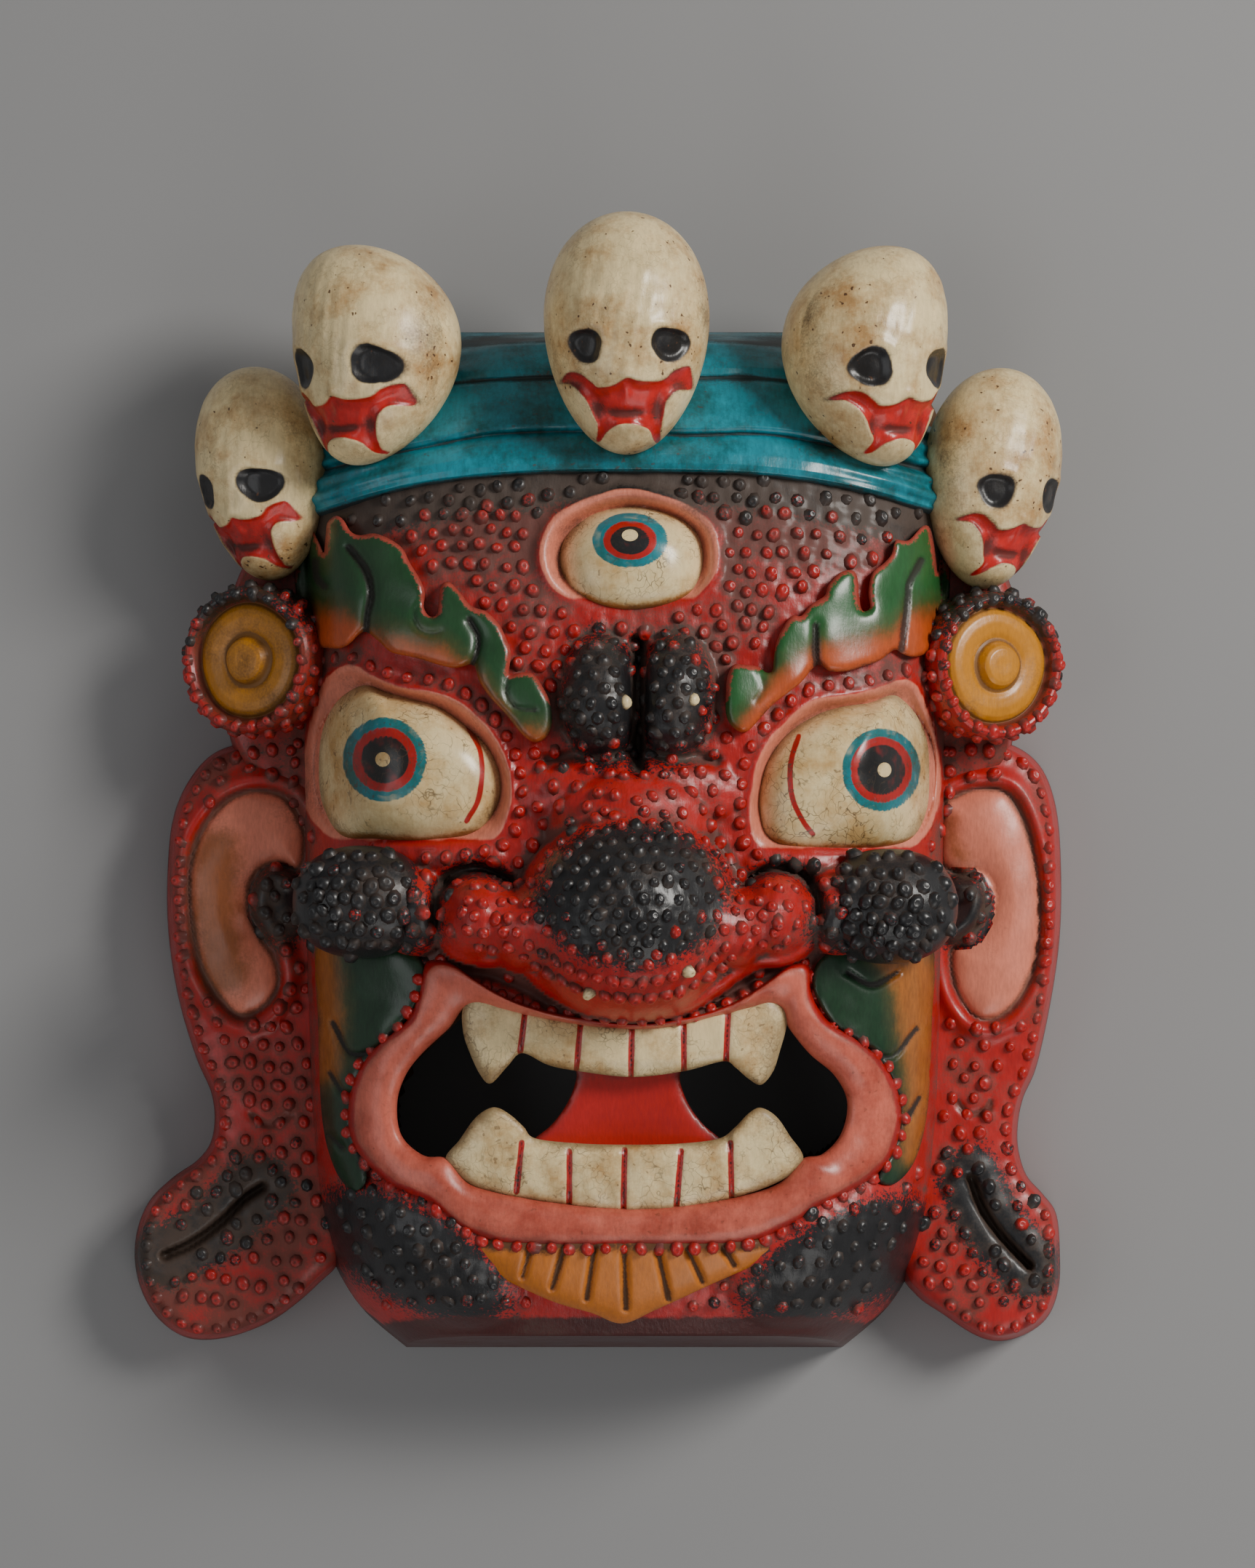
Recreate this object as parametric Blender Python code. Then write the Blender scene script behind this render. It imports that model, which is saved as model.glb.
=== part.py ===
"""A carved and painted wooden mask of a wrathful three-eyed guardian, with a turban and five skulls.

The mask is one block of wood. It lies on its flat back: +Z comes out of the face, +Y is the crown,
+X is the viewer's right. The origin is under the middle of its bounding box, on the back plane.

The carving is drawn in carver's units, one unit being a millimetre on a mask 365 mm tall. Outlines are
those of the front view, seen from VIEW_DISTANCE; near forms look larger there, so placed() draws each
point in towards the midline by its height above the picture plane.
"""

import math

import bmesh
import bpy
import numpy as np
from mathutils import Vector, geometry

# Driving dimensions, in metres
MASK_HEIGHT = 0.365
FRONT_WALL = 0.019
REAR_RIM = 0.017
TOOTH_DEPTH = 0.014
TONGUE_DEPTH = 0.012
EAR_THICKNESS = 0.024
BROW_RELIEF = 0.007
LIP_RELIEF = 0.006
SOCKET_DEPTH = 0.007

# The drawing: one carver's unit, and the view that its outlines are drawn from
DRAWN_HEIGHT = 365.0
UNIT = MASK_HEIGHT / DRAWN_HEIGHT
VIEW_DISTANCE = 1450.0
PICTURE_PLANE = 50.0
BOX_MIDDLE = (-9.7, -2.85)

front_wall = FRONT_WALL / UNIT
rear_rim = REAR_RIM / UNIT
tooth_depth = TOOTH_DEPTH / UNIT
tongue_depth = TONGUE_DEPTH / UNIT
ear_thickness = EAR_THICKNESS / UNIT
brow_relief = BROW_RELIEF / UNIT
lip_relief = LIP_RELIEF / UNIT
socket_depth = SOCKET_DEPTH / UNIT

# The face block: height on the mask, half width, height of the arch over the midline
FACE_MIDDLE = -1.0
FACE_SECTIONS = [
    (141.0, 54.0, 42.0),
    (134.0, 80.0, 50.0),
    (124.0, 94.0, 57.0),
    (110.0, 100.0, 64.0),
    (96.0, 101.5, 70.0),
    (60.0, 101.5, 77.0),
    (10.0, 101.5, 82.0),
    (-55.0, 100.5, 82.0),
    (-100.0, 99.0, 80.0),
    (-130.0, 96.5, 76.0),
    (-150.0, 91.0, 71.0),
    (-165.0, 82.0, 65.0),
    (-176.0, 68.0, 57.0),
]
ARCH_POWER = 3.4
DRAFT = 0.02
DRAFT_TOP = 50.0

# The turban: where its lower edge runs, and its folds as (height above that edge, relief)
TURBAN_EDGE = 100.0
TURBAN_SAG = 15.0
TURBAN_SAG_POWER = 3.0
TURBAN_FOLDS = [
    (-0.4, 0.0),
    (0.4, 4.0),
    (5.0, 5.6),
    (12.0, 3.2),
    (12.8, 5.0),
    (28.0, 2.4),
    (28.8, 4.4),
    (40.0, 3.0),
]

# Skulls: middle of the head, height of its centre, half width, half height, half depth, turn, lean, and how
# far the crown and the chin sit to the side of the middle; a share by which the cranium is wider than the jaw
SKULLS = {
    "middle": ((-0.3, 143.8), 72.0, (26.2, 38.8, 29.0), 0.0, 0.0, 0.0),
    "left": ((-79.6, 137.0), 60.0, (26.4, 35.2, 27.0), -36.0, 2.0, -7.0),
    "right": ((75.2, 136.7), 60.0, (25.6, 35.2, 27.0), 36.0, -2.0, 7.0),
    "outer_left": ((-115.8, 99.0), 33.0, (20.5, 34.3, 22.0), -38.0, 7.0, -1.0),
    "outer_right": ((115.8, 97.5), 33.0, (21.5, 35.4, 22.0), 38.0, -7.0, 1.0),
}
SKULL_TAPER = 0.13
SKULL_SOCKETS = [((-0.46, -0.13), 5.6), ((0.46, -0.10), 5.6)]
SKULL_MOUTH_TOP = [(-0.78, -0.36), (-0.42, -0.42), (-0.16, -0.44), (0.0, -0.37), (0.18, -0.43), (0.44, -0.40), (0.76, -0.31)]
SKULL_MOUTH_FOOT = [(-0.80, -0.42), (-0.52, -0.58), (-0.32, -0.84), (0.0, -0.74), (0.34, -0.86), (0.50, -0.60), (0.80, -0.46)]
SKULL_CARVING = 2.2

# Ears: outlines, raised ovals and the slit through each lobe
EAR_OUTLINES = {
    "left": [
        (-92, 9), (-108, 12.5), (-120, 11.5), (-130, 6), (-139, -3), (-143.5, -15), (-144.8, -35),
        (-143.5, -55), (-140, -74), (-134.5, -88), (-130, -104), (-129.5, -113), (-134.5, -121),
        (-144.5, -127.5), (-152, -136), (-154.8, -150), (-153, -164), (-146, -172.5), (-134, -175),
        (-121, -171), (-107, -161), (-92, -148), (-85, -120), (-85, -50),
    ],
    "right": [
        (88, 8), (104, 12), (114, 12.5), (123, 8), (130.5, -1), (134.5, -12.5), (135.8, -32), (135.8, -53),
        (134, -75), (129.5, -91), (124.5, -105), (122.3, -115), (123, -125), (128, -132.5), (134, -139.5),
        (135.8, -150), (135, -162), (130.5, -171), (121, -175), (110, -172.5), (100, -166), (88, -152),
        (82, -120), (82, -50),
    ],
}
EAR_OVALS = {
    "left": [(-128, -3), (-118, 0), (-108, -4), (-104, -15), (-106, -27), (-117, -30), (-119, -41),
             (-112, -52), (-110, -62), (-115, -71), (-122, -74), (-131, -66), (-137, -53), (-139, -33), (-137, -16)],
    "right": [(104, -7), (112, -1.5), (120, -3), (127, -15), (130.5, -35), (130, -55), (124, -70),
              (116, -75), (108, -69), (103, -56), (108, -49), (113, -39), (110, -29), (102, -28), (100, -17)],
}
EAR_SLITS = {
    "left": [(-145, -151), (-135, -147.5), (-126, -142), (-119, -134)],
    "right": [(109, -128), (112, -137), (117, -145), (124, -151)],
}
EAR_SLIT_WIDTH = 3.6
EAR_SLIT_DEPTH = 9.0
EAR_OVAL_RELIEF = 4.0
EAR_RIM = 4.2

# Ear drums: centre on the front view, height of the face, turn, and the turned profile (radius, height)
EAR_DRUMS = {"left": ((-121.0, 39.5), 42.0, -32.0), "right": ((118.0, 37.8), 42.0, 32.0)}
DRUM_PROFILE = [
    (0.6, 3.6), (5.6, 3.2), (6.8, 0.2), (15.6, 0.0), (17.4, 1.0), (19.6, 3.0), (22.6, 2.0), (23.8, -3.0), (21.4, -24.0),
    (0.6, -24.0),
]
SIDE_WEBS = {
    "left": [(-92, 86), (-112, 82), (-124, 62), (-128, 40), (-126, 18), (-118, 4), (-92, 0)],
    "right": [(90, 86), (110, 82), (121, 62), (125, 40), (122, 18), (116, 4), (90, 0)],
}
SIDE_WEB_HEIGHT = 26.0

# Eyes: outlines of the balls and of the lids around them
EYE_BALLS = {
    "left": [
        (-99.4, 1), (-99, 12), (-96.5, 20), (-91.5, 27.5), (-84, 31.6), (-77, 29.4), (-68, 27), (-60, 24.5),
        (-51, 18), (-44, 11), (-40.4, 2), (-41, -6), (-46, -13.5), (-54, -17), (-66, -18.4), (-80, -17.6),
        (-91, -16.5), (-97, -8),
    ],
    "right": [
        (97.5, 4), (96.2, 14), (92.5, 21.5), (88, 26.6), (84, 28.4), (77, 26), (68, 24.6), (60, 22), (51.5, 16.5),
        (45, 8), (42.2, -1), (42, -9), (45, -17), (54, -20.6), (68, -20.8), (82, -20), (91, -17), (96, -8),
    ],
    "third": [
        (25.1, 70), (23.8, 78), (18.5, 84.2), (9, 88), (-1, 88.6), (-12, 86), (-20, 78.5), (-22, 70.5),
        (-19.5, 63.5), (-12, 58.4), (-2, 55.8), (9, 56.4), (18, 59.4), (23.4, 64),
    ],
}
EYE_LIDS = {
    "left": [
        (-103.4, 1), (-101.6, 14), (-99.4, 26), (-95.5, 34.5), (-88, 38.2), (-81, 34.6), (-72, 31), (-62, 29.6),
        (-52, 25.4), (-43, 16.5), (-37.6, 5), (-37, -6), (-41, -16.5), (-52, -20), (-66, -20.6), (-80, -19.8),
        (-93, -18.4), (-101, -10),
    ],
    "right": [
        (99.4, 4), (97.8, 16), (95, 26), (92, 31.8), (87, 33.4), (78, 30.4), (68, 28.4), (58, 26.6), (47.5, 17.5),
        (41.4, 8), (39.4, -1), (38.6, -9), (41, -19), (53, -22.8), (68, -23), (82, -22), (93, -19), (98.6, -8),
    ],
    "third": [
        (29.2, 72), (27.6, 82), (20, 88.6), (10, 92.6), (-1, 94.4), (-13, 91.2), (-24, 85), (-28.4, 74),
        (-24.5, 63), (-14, 57), (-3, 54), (10, 54.4), (20.5, 58.4), (27, 65),
    ],
}
EYE_BULGE = {"left": 15.0, "right": 15.0, "third": 12.0}

# Brows: three flame-like leaves each
BROWS = {
    "left": [
        (-104.8, 85), (-106.6, 79), (-106, 62), (-104.6, 50), (-98.5, 45), (-92, 43.5), (-86, 47.5), (-83.8, 56),
        (-82, 50), (-76, 42.5), (-68, 39.6), (-58, 37.6), (-52, 37.4), (-49.4, 43), (-47.6, 34), (-42, 26),
        (-35, 17), (-29, 13.4), (-24.6, 19), (-26.5, 29.5), (-31.5, 35), (-37.6, 35.5), (-37.6, 45), (-42, 52.5),
        (-50.5, 58), (-56, 64.4), (-59.6, 61), (-62, 54), (-65, 60), (-69.5, 70.5), (-76, 77.6), (-85.5, 79.4),
        (-91.5, 85.2), (-95.8, 82), (-97.5, 75.5),
    ],
    "right": [
        (31, 23), (32.4, 34), (37, 38.4), (44, 36), (47.6, 45.6), (52, 53.4), (60, 58.4), (65.5, 65), (71.5, 68),
        (74.2, 62), (75.4, 55), (77.6, 62), (82.5, 71.5), (87.5, 78.6), (91, 77.6), (95, 82.4), (98, 76.5),
        (101.4, 83), (103.2, 77), (102.6, 62), (100.8, 48), (95, 42), (89.5, 41), (87, 48), (84, 43.6),
        (75, 37.6), (65.5, 34.6), (61, 38), (57, 33), (48, 25), (38.5, 17), (33, 18),
    ],
}

# The mouth: outer edge of the lips, and the opening within them
LIPS = [
    (-64, -57.5), (-57, -57), (-50, -61.5), (-43, -66), (-33, -70.5), (-16, -74.5), (3, -76.4), (20, -74.4),
    (34, -69.6), (44, -63.4), (52, -58), (57.5, -58.5), (58.5, -67), (64, -76), (74, -82.5), (81.5, -89.5),
    (86, -98.5), (87, -108), (83.5, -119.5), (74, -127.8), (62, -134), (50, -141.5), (34, -146.6), (1, -147.2),
    (-35, -146.8), (-52, -142), (-62, -133.8), (-76, -127), (-86.5, -116), (-88.8, -105), (-86.4, -93), (-79, -83),
    (-70, -75.4), (-66.5, -67),
]
MOUTH = [
    (-50, -71), (-57, -78), (-66, -86.5), (-71, -93.5), (-73.4, -102), (-72, -112), (-65, -118.4), (-57, -119.4),
    (-50, -127), (-36, -131), (-12, -134.4), (10, -134.6), (34, -131.6), (48, -127.4), (55.5, -119.6), (62, -118),
    (68, -111.5), (70, -101.5), (66, -93), (58, -86), (51.5, -78), (47, -71), (30, -74), (10, -78), (-10, -77.6),
    (-32, -74),
]
UPPER_TEETH = [
    (-54, -68), (-44, -66), (-33, -70.5), (-15, -75), (1, -76.4), (18, -74.6), (32, -69.4), (45, -66), (51, -68.5),
    (50, -77), (46.6, -89), (42.6, -95.8), (36.6, -93), (30.7, -88.4), (17, -91.8), (0.6, -93.3), (-16.6, -91),
    (-33.5, -85.7), (-39, -91.4), (-43.9, -95.3), (-48, -91), (-52, -79),
]
LOWER_TEETH = [
    (-58, -120), (-52, -112), (-47, -104.8), (-42, -103.2), (-36.5, -106.4), (-29, -113), (-15, -114.6), (1, -115),
    (17, -114.6), (31, -113), (36.8, -105.8), (42, -103.2), (47, -105.8), (52, -113.4), (56, -120), (50, -129),
    (34, -133), (16, -136.4), (-2, -137), (-20, -136), (-36, -132.4), (-51, -128.5),
]
TONGUE = [
    (-16.8, -86), (-17.5, -95), (-20.4, -103.4), (-25, -110), (-31, -115), (-26, -121), (0, -122), (26, -121),
    (31, -115), (25.5, -110), (20.4, -104), (17.4, -95), (16.4, -86),
]

# The beard plate, the leaf strips beside the mouth, and the rounded lumps of the face
BEARD = [
    (-51, -146.5), (-42, -155.5), (-24, -165), (-8, -171), (-1.7, -173), (5, -171), (20, -164), (36, -155.5),
    (48, -147), (30, -143), (0, -141), (-30, -143),
]
BEARD_RELIEF = 6.0
LEAF_STRIPS = {
    "left": [
        (-98.6, -50), (-84, -50), (-68, -54), (-64, -66), (-74, -80), (-84, -92), (-87, -106), (-84, -118),
        (-83, -127), (-88, -129.5), (-93.6, -122), (-97.4, -106), (-98.4, -76),
    ],
    "right": [
        (97, -50), (83, -50), (66, -54), (60, -64), (70, -80), (80, -90), (85, -104), (82, -118),
        (79, -125.5), (85, -127.5), (90.6, -120), (95.6, -104), (96.6, -76),
    ],
}
LEAF_RELIEF = 2.0
LUMPS = [
    ("nose", (0.5, -42.5, 88.0), (34.0, 31.0, 36.0), 0.0),
    ("nose_bridge", (1.5, -6.0, 77.0), (38.0, 25.0, 15.0), 0.0),
    ("nose_wing_left", (-43.5, -43.0, 84.0), (18.5, 15.5, 22.0), 8.0),
    ("nose_wing_right", (43.0, -42.5, 84.0), (18.5, 15.5, 22.0), -8.0),
    ("frown_left", (-7.5, 27.0, 80.0), (10.5, 19.0, 15.0), 3.0),
    ("frown_right", (13.5, 27.5, 80.0), (10.0, 19.0, 15.0), -3.0),
    ("cheek_left", (-84.0, -37.5, 73.0), (22.5, 18.5, 24.0), 0.0),
    ("cheek_right", (82.5, -38.0, 73.0), (22.5, 19.0, 24.0), 0.0),
    ("jaw_left", (-66.0, -147.0, 50.0), (36.0, 23.0, 25.0), -24.0),
    ("jaw_right", (66.0, -146.0, 50.0), (35.0, 23.0, 25.0), 22.0),
]

# The hollow behind the face: half height and middle on the mask, how square its plan and its vault are
HOLLOW_MIDDLE = -24.0
HOLLOW_HALF_HEIGHT = 127.0
HOLLOW_PLAN_POWER = 2.8
HOLLOW_VAULT_POWER = 3.0

# Facets
ARCH_FACETS = 20
OUTLINE_FACETS = {"brow": 40, "ear": 28, "eye": 18, "lips": 34, "teeth": 34, "small": 16}
EYE_RINGS = 4
LUMP_FACETS = 12
LUMP_RINGS = 7
SKULL_FACETS = 13
SKULL_RINGS = 8
DRUM_FACETS = 15

WOOD_COLOUR = (0.52, 0.04, 0.035, 1.0)
WOOD_ROUGHNESS = 0.42


def smooth_table(table, at):
    """Reads a table of rows (key, value, ...) with falling keys at the given keys, by straight interpolation."""
    rows = np.array(sorted(table))
    return [np.interp(at, rows[:, 0], rows[:, k]) for k in range(1, rows.shape[1])]


def closed_curve(points, count):
    """A closed Catmull-Rom curve through the points, read at evenly spaced places along its length."""
    p = np.array(points, float)
    before, after, second = np.roll(p, 1, 0), np.roll(p, -1, 0), np.roll(p, -2, 0)
    t = np.linspace(0, 1, 9)[:-1][:, None, None]
    fine = 0.5 * (
        2 * p + (after - before) * t + (2 * before - 5 * p + 4 * after - second) * t**2
        + (3 * p - before - 3 * after + second) * t**3
    )
    fine = fine.transpose(1, 0, 2).reshape(-1, 2)
    loop = np.vstack([fine, fine[:1]])
    along = np.concatenate([[0], np.cumsum(np.linalg.norm(np.diff(loop, axis=0), axis=1))])
    at = np.linspace(0, along[-1], count + 1)[:-1]
    return np.stack([np.interp(at, along, loop[:, k]) for k in range(2)], axis=1)


def grown(outline, by):
    """The outline moved outwards along its own normals, whichever way round it runs."""
    step = np.roll(outline, -1, 0) - np.roll(outline, 1, 0)
    normal = np.stack([step[:, 1], -step[:, 0]], axis=1)
    normal /= np.linalg.norm(normal, axis=1, keepdims=True)
    x, y = outline.T
    area = np.sum(x * np.roll(y, -1) - np.roll(x, -1) * y)
    return outline + normal * by * np.sign(area)


def turban_relief(x, y):
    """How far the turban stands out of the block: its folds, measured from a lower edge that sags to the sides."""
    edge = TURBAN_EDGE - TURBAN_SAG * np.abs(x / 100.0) ** TURBAN_SAG_POWER
    heights, reliefs = np.array(TURBAN_FOLDS).T
    return np.interp(y - edge, heights, reliefs, left=0.0)


def face_height(x, y):
    """Height of the face block's front: a superellipse arch over each section."""
    half, crown = smooth_table(FACE_SECTIONS, y)
    share = np.clip(np.abs(x - FACE_MIDDLE) / half, 0, 0.985)
    return crown * (1 - share**ARCH_POWER) ** (1 / ARCH_POWER) + turban_relief(x, y)


def placed(points):
    """Points in carver's units on the front view, as points in metres in the mask's own frame."""
    p = np.array(points, float)
    nearer = 1 - (p[:, 2:] - PICTURE_PLANE) / VIEW_DISTANCE
    flat = p[:, :2] * nearer - np.array(BOX_MIDDLE)
    return np.hstack([flat, p[:, 2:]]) * UNIT


def with_height(outline, height):
    """An outline as points, at one height or at a height for each point."""
    return np.column_stack([outline, np.broadcast_to(height, len(outline))])


def loft(name, rings):
    """A closed solid skinned over rings of equally many points, its two ends filled."""
    count = len(rings[0])
    mesh = bpy.data.meshes.new(name)
    form = bmesh.new()
    corners = [[form.verts.new(point) for point in placed(ring)] for ring in rings]
    for low, high in zip(corners, corners[1:]):
        for k in range(count):
            form.faces.new((low[k], low[k - 1], high[k - 1], high[k]))
    ends = [form.faces.new(corners[0]), form.faces.new(corners[-1])]
    bmesh.ops.triangulate(form, faces=ends)
    bmesh.ops.recalc_face_normals(form, faces=form.faces)
    form.to_mesh(mesh)
    form.free()
    helper = bpy.data.objects.new(name, mesh)
    bpy.context.scene.collection.objects.link(helper)
    return helper


def face_block():
    """The block: arches from the chin to the crown, drawn out towards the back by the draft."""
    sections = [row[0] for row in FACE_SECTIONS]
    edge_rows = [TURBAN_EDGE + height for height, _ in TURBAN_FOLDS[:-1]]
    rows = sorted({y for y in sections if y < TURBAN_EDGE - 2 or y > 140} | set(edge_rows))
    rings = []
    for level in rows:
        half = smooth_table(FACE_SECTIONS, np.array([level]))[0][0]
        turn = np.linspace(math.pi, 0, ARCH_FACETS)
        x = FACE_MIDDLE + 0.985 * half * np.sign(np.cos(turn)) * np.abs(np.cos(turn)) ** (2 / 2.6)
        sag = TURBAN_SAG * np.abs(x / 100.0) ** TURBAN_SAG_POWER
        y = level - sag * np.clip((level - 60.0) / 40.0, 0, 1) * np.clip((141.0 - level) / 13.0, 0, 1)
        z = face_height(x, y)
        arch = np.column_stack([x, y, z])
        feet = np.array([[x[-1], y[-1], 0.0], [x[0], y[0], 0.0]])
        ring = np.vstack([arch, feet])
        out = 1 + DRAFT * np.clip(1 - ring[:, 2:] / DRAFT_TOP, 0, 1)
        ring[:, :2] = ring[:, :2] * out
        rings.append(ring)
    return loft("face_block", rings)


def inside(points, outline):
    """Which points lie inside an outline: a line to the side crosses it an odd number of times."""
    a, b = outline, np.roll(outline, -1, 0)
    x, y = points[:, :1], points[:, 1:]
    spans = (a[:, 1] > y) != (b[:, 1] > y)
    rise = np.where(b[:, 1] == a[:, 1], 1.0, b[:, 1] - a[:, 1])
    crossing = a[:, 0] + (y - a[:, 1]) * (b[:, 0] - a[:, 0]) / rise
    return (spans & (x < crossing)).sum(axis=1) % 2 == 1


def filled(outline, spacing):
    """An outline filled in plan: its points, more points on a grid within it, and triangles over them all."""
    low, high = outline.min(0), outline.max(0)
    count = np.maximum(np.ceil((high - low) / spacing).astype(int), 1)
    grid = np.stack(np.meshgrid(*[np.linspace(low[k], high[k], count[k] + 1) for k in range(2)]), axis=-1).reshape(-1, 2)
    grid = grid[inside(grid, outline)]
    far = np.linalg.norm(grid[:, None] - outline[None], axis=2).min(axis=1) > 0.45 * spacing
    points = np.vstack([outline, grid[far]])
    edges = [(k, (k + 1) % len(outline)) for k in range(len(outline))]
    made = geometry.delaunay_2d_cdt([Vector(point) for point in points], edges, [], 1, 1e-5)
    source = [origins[0] for origins in made[3]]
    return points, [tuple(source[k] for k in face) for face in made[2]]


def plate(name, outline, foot, top, bevel, spacing=40.0):
    """A raised plate: its outline at the foot, drawn in by the bevel at the top, which may follow a surface."""
    count = len(outline)
    points, faces = filled(grown(outline, -bevel), spacing)
    flat, flat_faces = filled(outline, 1000.0)
    upper = placed(with_height(points, top(*points.T)))
    lower = placed(with_height(flat, foot))
    mesh = bpy.data.meshes.new(name)
    walls = [(k, (k + 1) % count, count + (k + 1) % count, count + k) for k in range(count)]
    lids = [tuple(count + k for k in face) for face in faces]
    mesh.from_pydata(np.vstack([lower, upper]).tolist(), [], walls + lids + flat_faces)
    form = bmesh.new()
    form.from_mesh(mesh)
    bmesh.ops.recalc_face_normals(form, faces=form.faces)
    form.to_mesh(mesh)
    form.free()
    helper = bpy.data.objects.new(name, mesh)
    bpy.context.scene.collection.objects.link(helper)
    return helper


def dome(name, outline, foot, rise, top, rings=4):
    """A dome over an outline: it shrinks towards its middle while it rises by a quarter circle from a surface."""
    middle = outline.mean(0)
    levels = [with_height(outline, foot)]
    for turn in np.linspace(0, math.pi / 2, rings + 1)[:-1]:
        ring = middle + (outline - middle) * math.cos(turn)
        levels.append(with_height(ring, top(*ring.T) + rise * math.sin(turn)))
    tip = middle + (outline - middle) * 0.08
    levels.append(with_height(tip, top(*tip.T) + rise))
    return loft(name, levels)


def ball_rings(semi, facets, count):
    """Rings of an ellipsoid from its foot to its crown, about its own middle, as (direction, points)."""
    rings = []
    for level in np.linspace(-0.93, 0.93, count):
        turn = np.linspace(0, 2 * math.pi, facets + 1)[:-1]
        height = math.sin(level * math.pi / 2)
        round_ = math.cos(level * math.pi / 2)
        rings.append(np.column_stack([
            semi[0] * round_ * np.cos(turn), np.full(facets, semi[1] * height), semi[2] * round_ * np.sin(turn),
        ]))
    return rings


def turned(points, yaw, lean):
    """Points turned to the side about the upright axis, then leaned over in the front view."""
    a, b = math.radians(yaw), math.radians(lean)
    x, y, z = points.T
    x, z = x * math.cos(a) + z * math.sin(a), z * math.cos(a) - x * math.sin(a)
    return np.column_stack([x * math.cos(b) - y * math.sin(b), x * math.sin(b) + y * math.cos(b), z])


def lump(name, middle, semi, lean):
    """A rounded lump: an ellipsoid leaned over in the front view."""
    rings = [turned(ring, 0.0, lean) + middle for ring in ball_rings(semi, LUMP_FACETS, LUMP_RINGS)]
    return loft(name, rings)


def skull_width(height):
    """Half width share of a skull at a height share: an ellipse, fuller in the cranium than in the jaw."""
    return np.sqrt(np.clip(1 - height**2, 0, 1)) * (1 + SKULL_TAPER * height)


def skull_solids(name, place):
    """The head of a skull, and the cutters for its sockets and its bat-shaped mouth."""
    (x, y), z, semi, yaw, lean, bow = place
    middle = np.array([x, y, z])

    def stood(points):
        """Points of an upright head, turned, bowed to the side at crown and chin, and leaned."""
        facing = turned(points, yaw, 0.0)
        facing[:, 0] += bow * (facing[:, 1] / semi[1]) ** 2
        return turned(facing, 0.0, lean) + middle

    rings = []
    for ring in ball_rings(semi, SKULL_FACETS, SKULL_RINGS):
        full = (1 + SKULL_TAPER * ring[:, 1] / semi[1])[:, None]
        rings.append(stood(ring * np.hstack([full, np.ones_like(full), full])))
    head = loft(f"skull_{name}", rings)

    def on_head(points, depth):
        """Shares of the head's half width and half height, carried onto its front and sunk by a depth."""
        across, up = np.array(points, float).T
        reach = skull_width(up)
        side = np.clip(across / reach, -0.97, 0.97)
        front = np.sqrt(1 - side**2) * reach * semi[2] - depth
        return stood(np.column_stack([across * semi[0], up * semi[1], front]))

    cutters = []
    for k, ((across, up), radius) in enumerate(SKULL_SOCKETS):
        turn = np.linspace(0, 2 * math.pi, 9)[:-1]
        wide = np.column_stack([across + radius / semi[0] * np.cos(turn), up + 0.95 * radius / semi[1] * np.sin(turn)])
        tight = (wide - wide.mean(0)) * 0.6 + wide.mean(0)
        cutters.append(loft(f"socket_{name}_{k}", [on_head(tight, SKULL_CARVING + 1), on_head(wide, 0.2), on_head(wide, -9)]))
    upper, lower = np.array(SKULL_MOUTH_TOP), np.array(SKULL_MOUTH_FOOT)
    ladder = [np.vstack([on_head([a, b], SKULL_CARVING), on_head([b, a], -9)]) for a, b in zip(upper, lower)]
    cutters.append(loft(f"mouth_{name}", ladder))
    return head, cutters


def drum(name, place):
    """An ear drum: a profile turned about its own axis, which looks outwards."""
    (x, y), z, yaw = place
    turn = np.linspace(0, 2 * math.pi, DRUM_FACETS + 1)[:-1]
    rings = []
    for radius, height in DRUM_PROFILE:
        ring = np.column_stack([radius * np.cos(turn), radius * np.sin(turn), np.full(DRUM_FACETS, height)])
        rings.append(turned(ring, yaw, 0.0) + np.array([x, y, z]))
    return loft(name, rings)


def ear_solids(side):
    """An ear: its plate, its rim and its raised oval, and the cutter for the slit in the lobe."""
    outline = closed_curve(EAR_OUTLINES[side], OUTLINE_FACETS["ear"])
    flared = grown(outline, DRAFT * 100)
    plate_solid = loft(f"ear_{side}", [
        with_height(flared, 0.0), with_height(outline, ear_thickness - 3.0), with_height(grown(outline, -2.4), ear_thickness),
    ])
    oval = closed_curve(EAR_OVALS[side], OUTLINE_FACETS["small"])
    rim_outer = closed_curve(EAR_OVALS[side], OUTLINE_FACETS["small"])
    rim = loft(f"ear_rim_{side}", [
        with_height(grown(rim_outer, EAR_RIM), ear_thickness - 6), with_height(grown(rim_outer, EAR_RIM * 0.6), ear_thickness + 3),
        with_height(grown(rim_outer, 1.6), ear_thickness + 3), with_height(grown(rim_outer, 0.4), ear_thickness - 1),
    ])
    raised = dome(f"ear_oval_{side}", oval, ear_thickness - 7, EAR_OVAL_RELIEF, lambda x, y: ear_thickness - 1 + 0 * x, 2)
    spine = np.array(EAR_SLITS[side])
    across = np.gradient(spine, axis=0)
    across = np.column_stack([across[:, 1], -across[:, 0]]) / np.linalg.norm(across, axis=1, keepdims=True)
    width = EAR_SLIT_WIDTH / 2 * np.array([0.5, 1, 1, 0.5])[:, None]
    loop = np.vstack([spine + across * width, (spine - across * width)[::-1]])
    slit = loft(f"slit_{side}", [with_height(loop, ear_thickness - EAR_SLIT_DEPTH), with_height(loop, ear_thickness + 12)])
    return [plate_solid, rim, raised], [slit]


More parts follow.
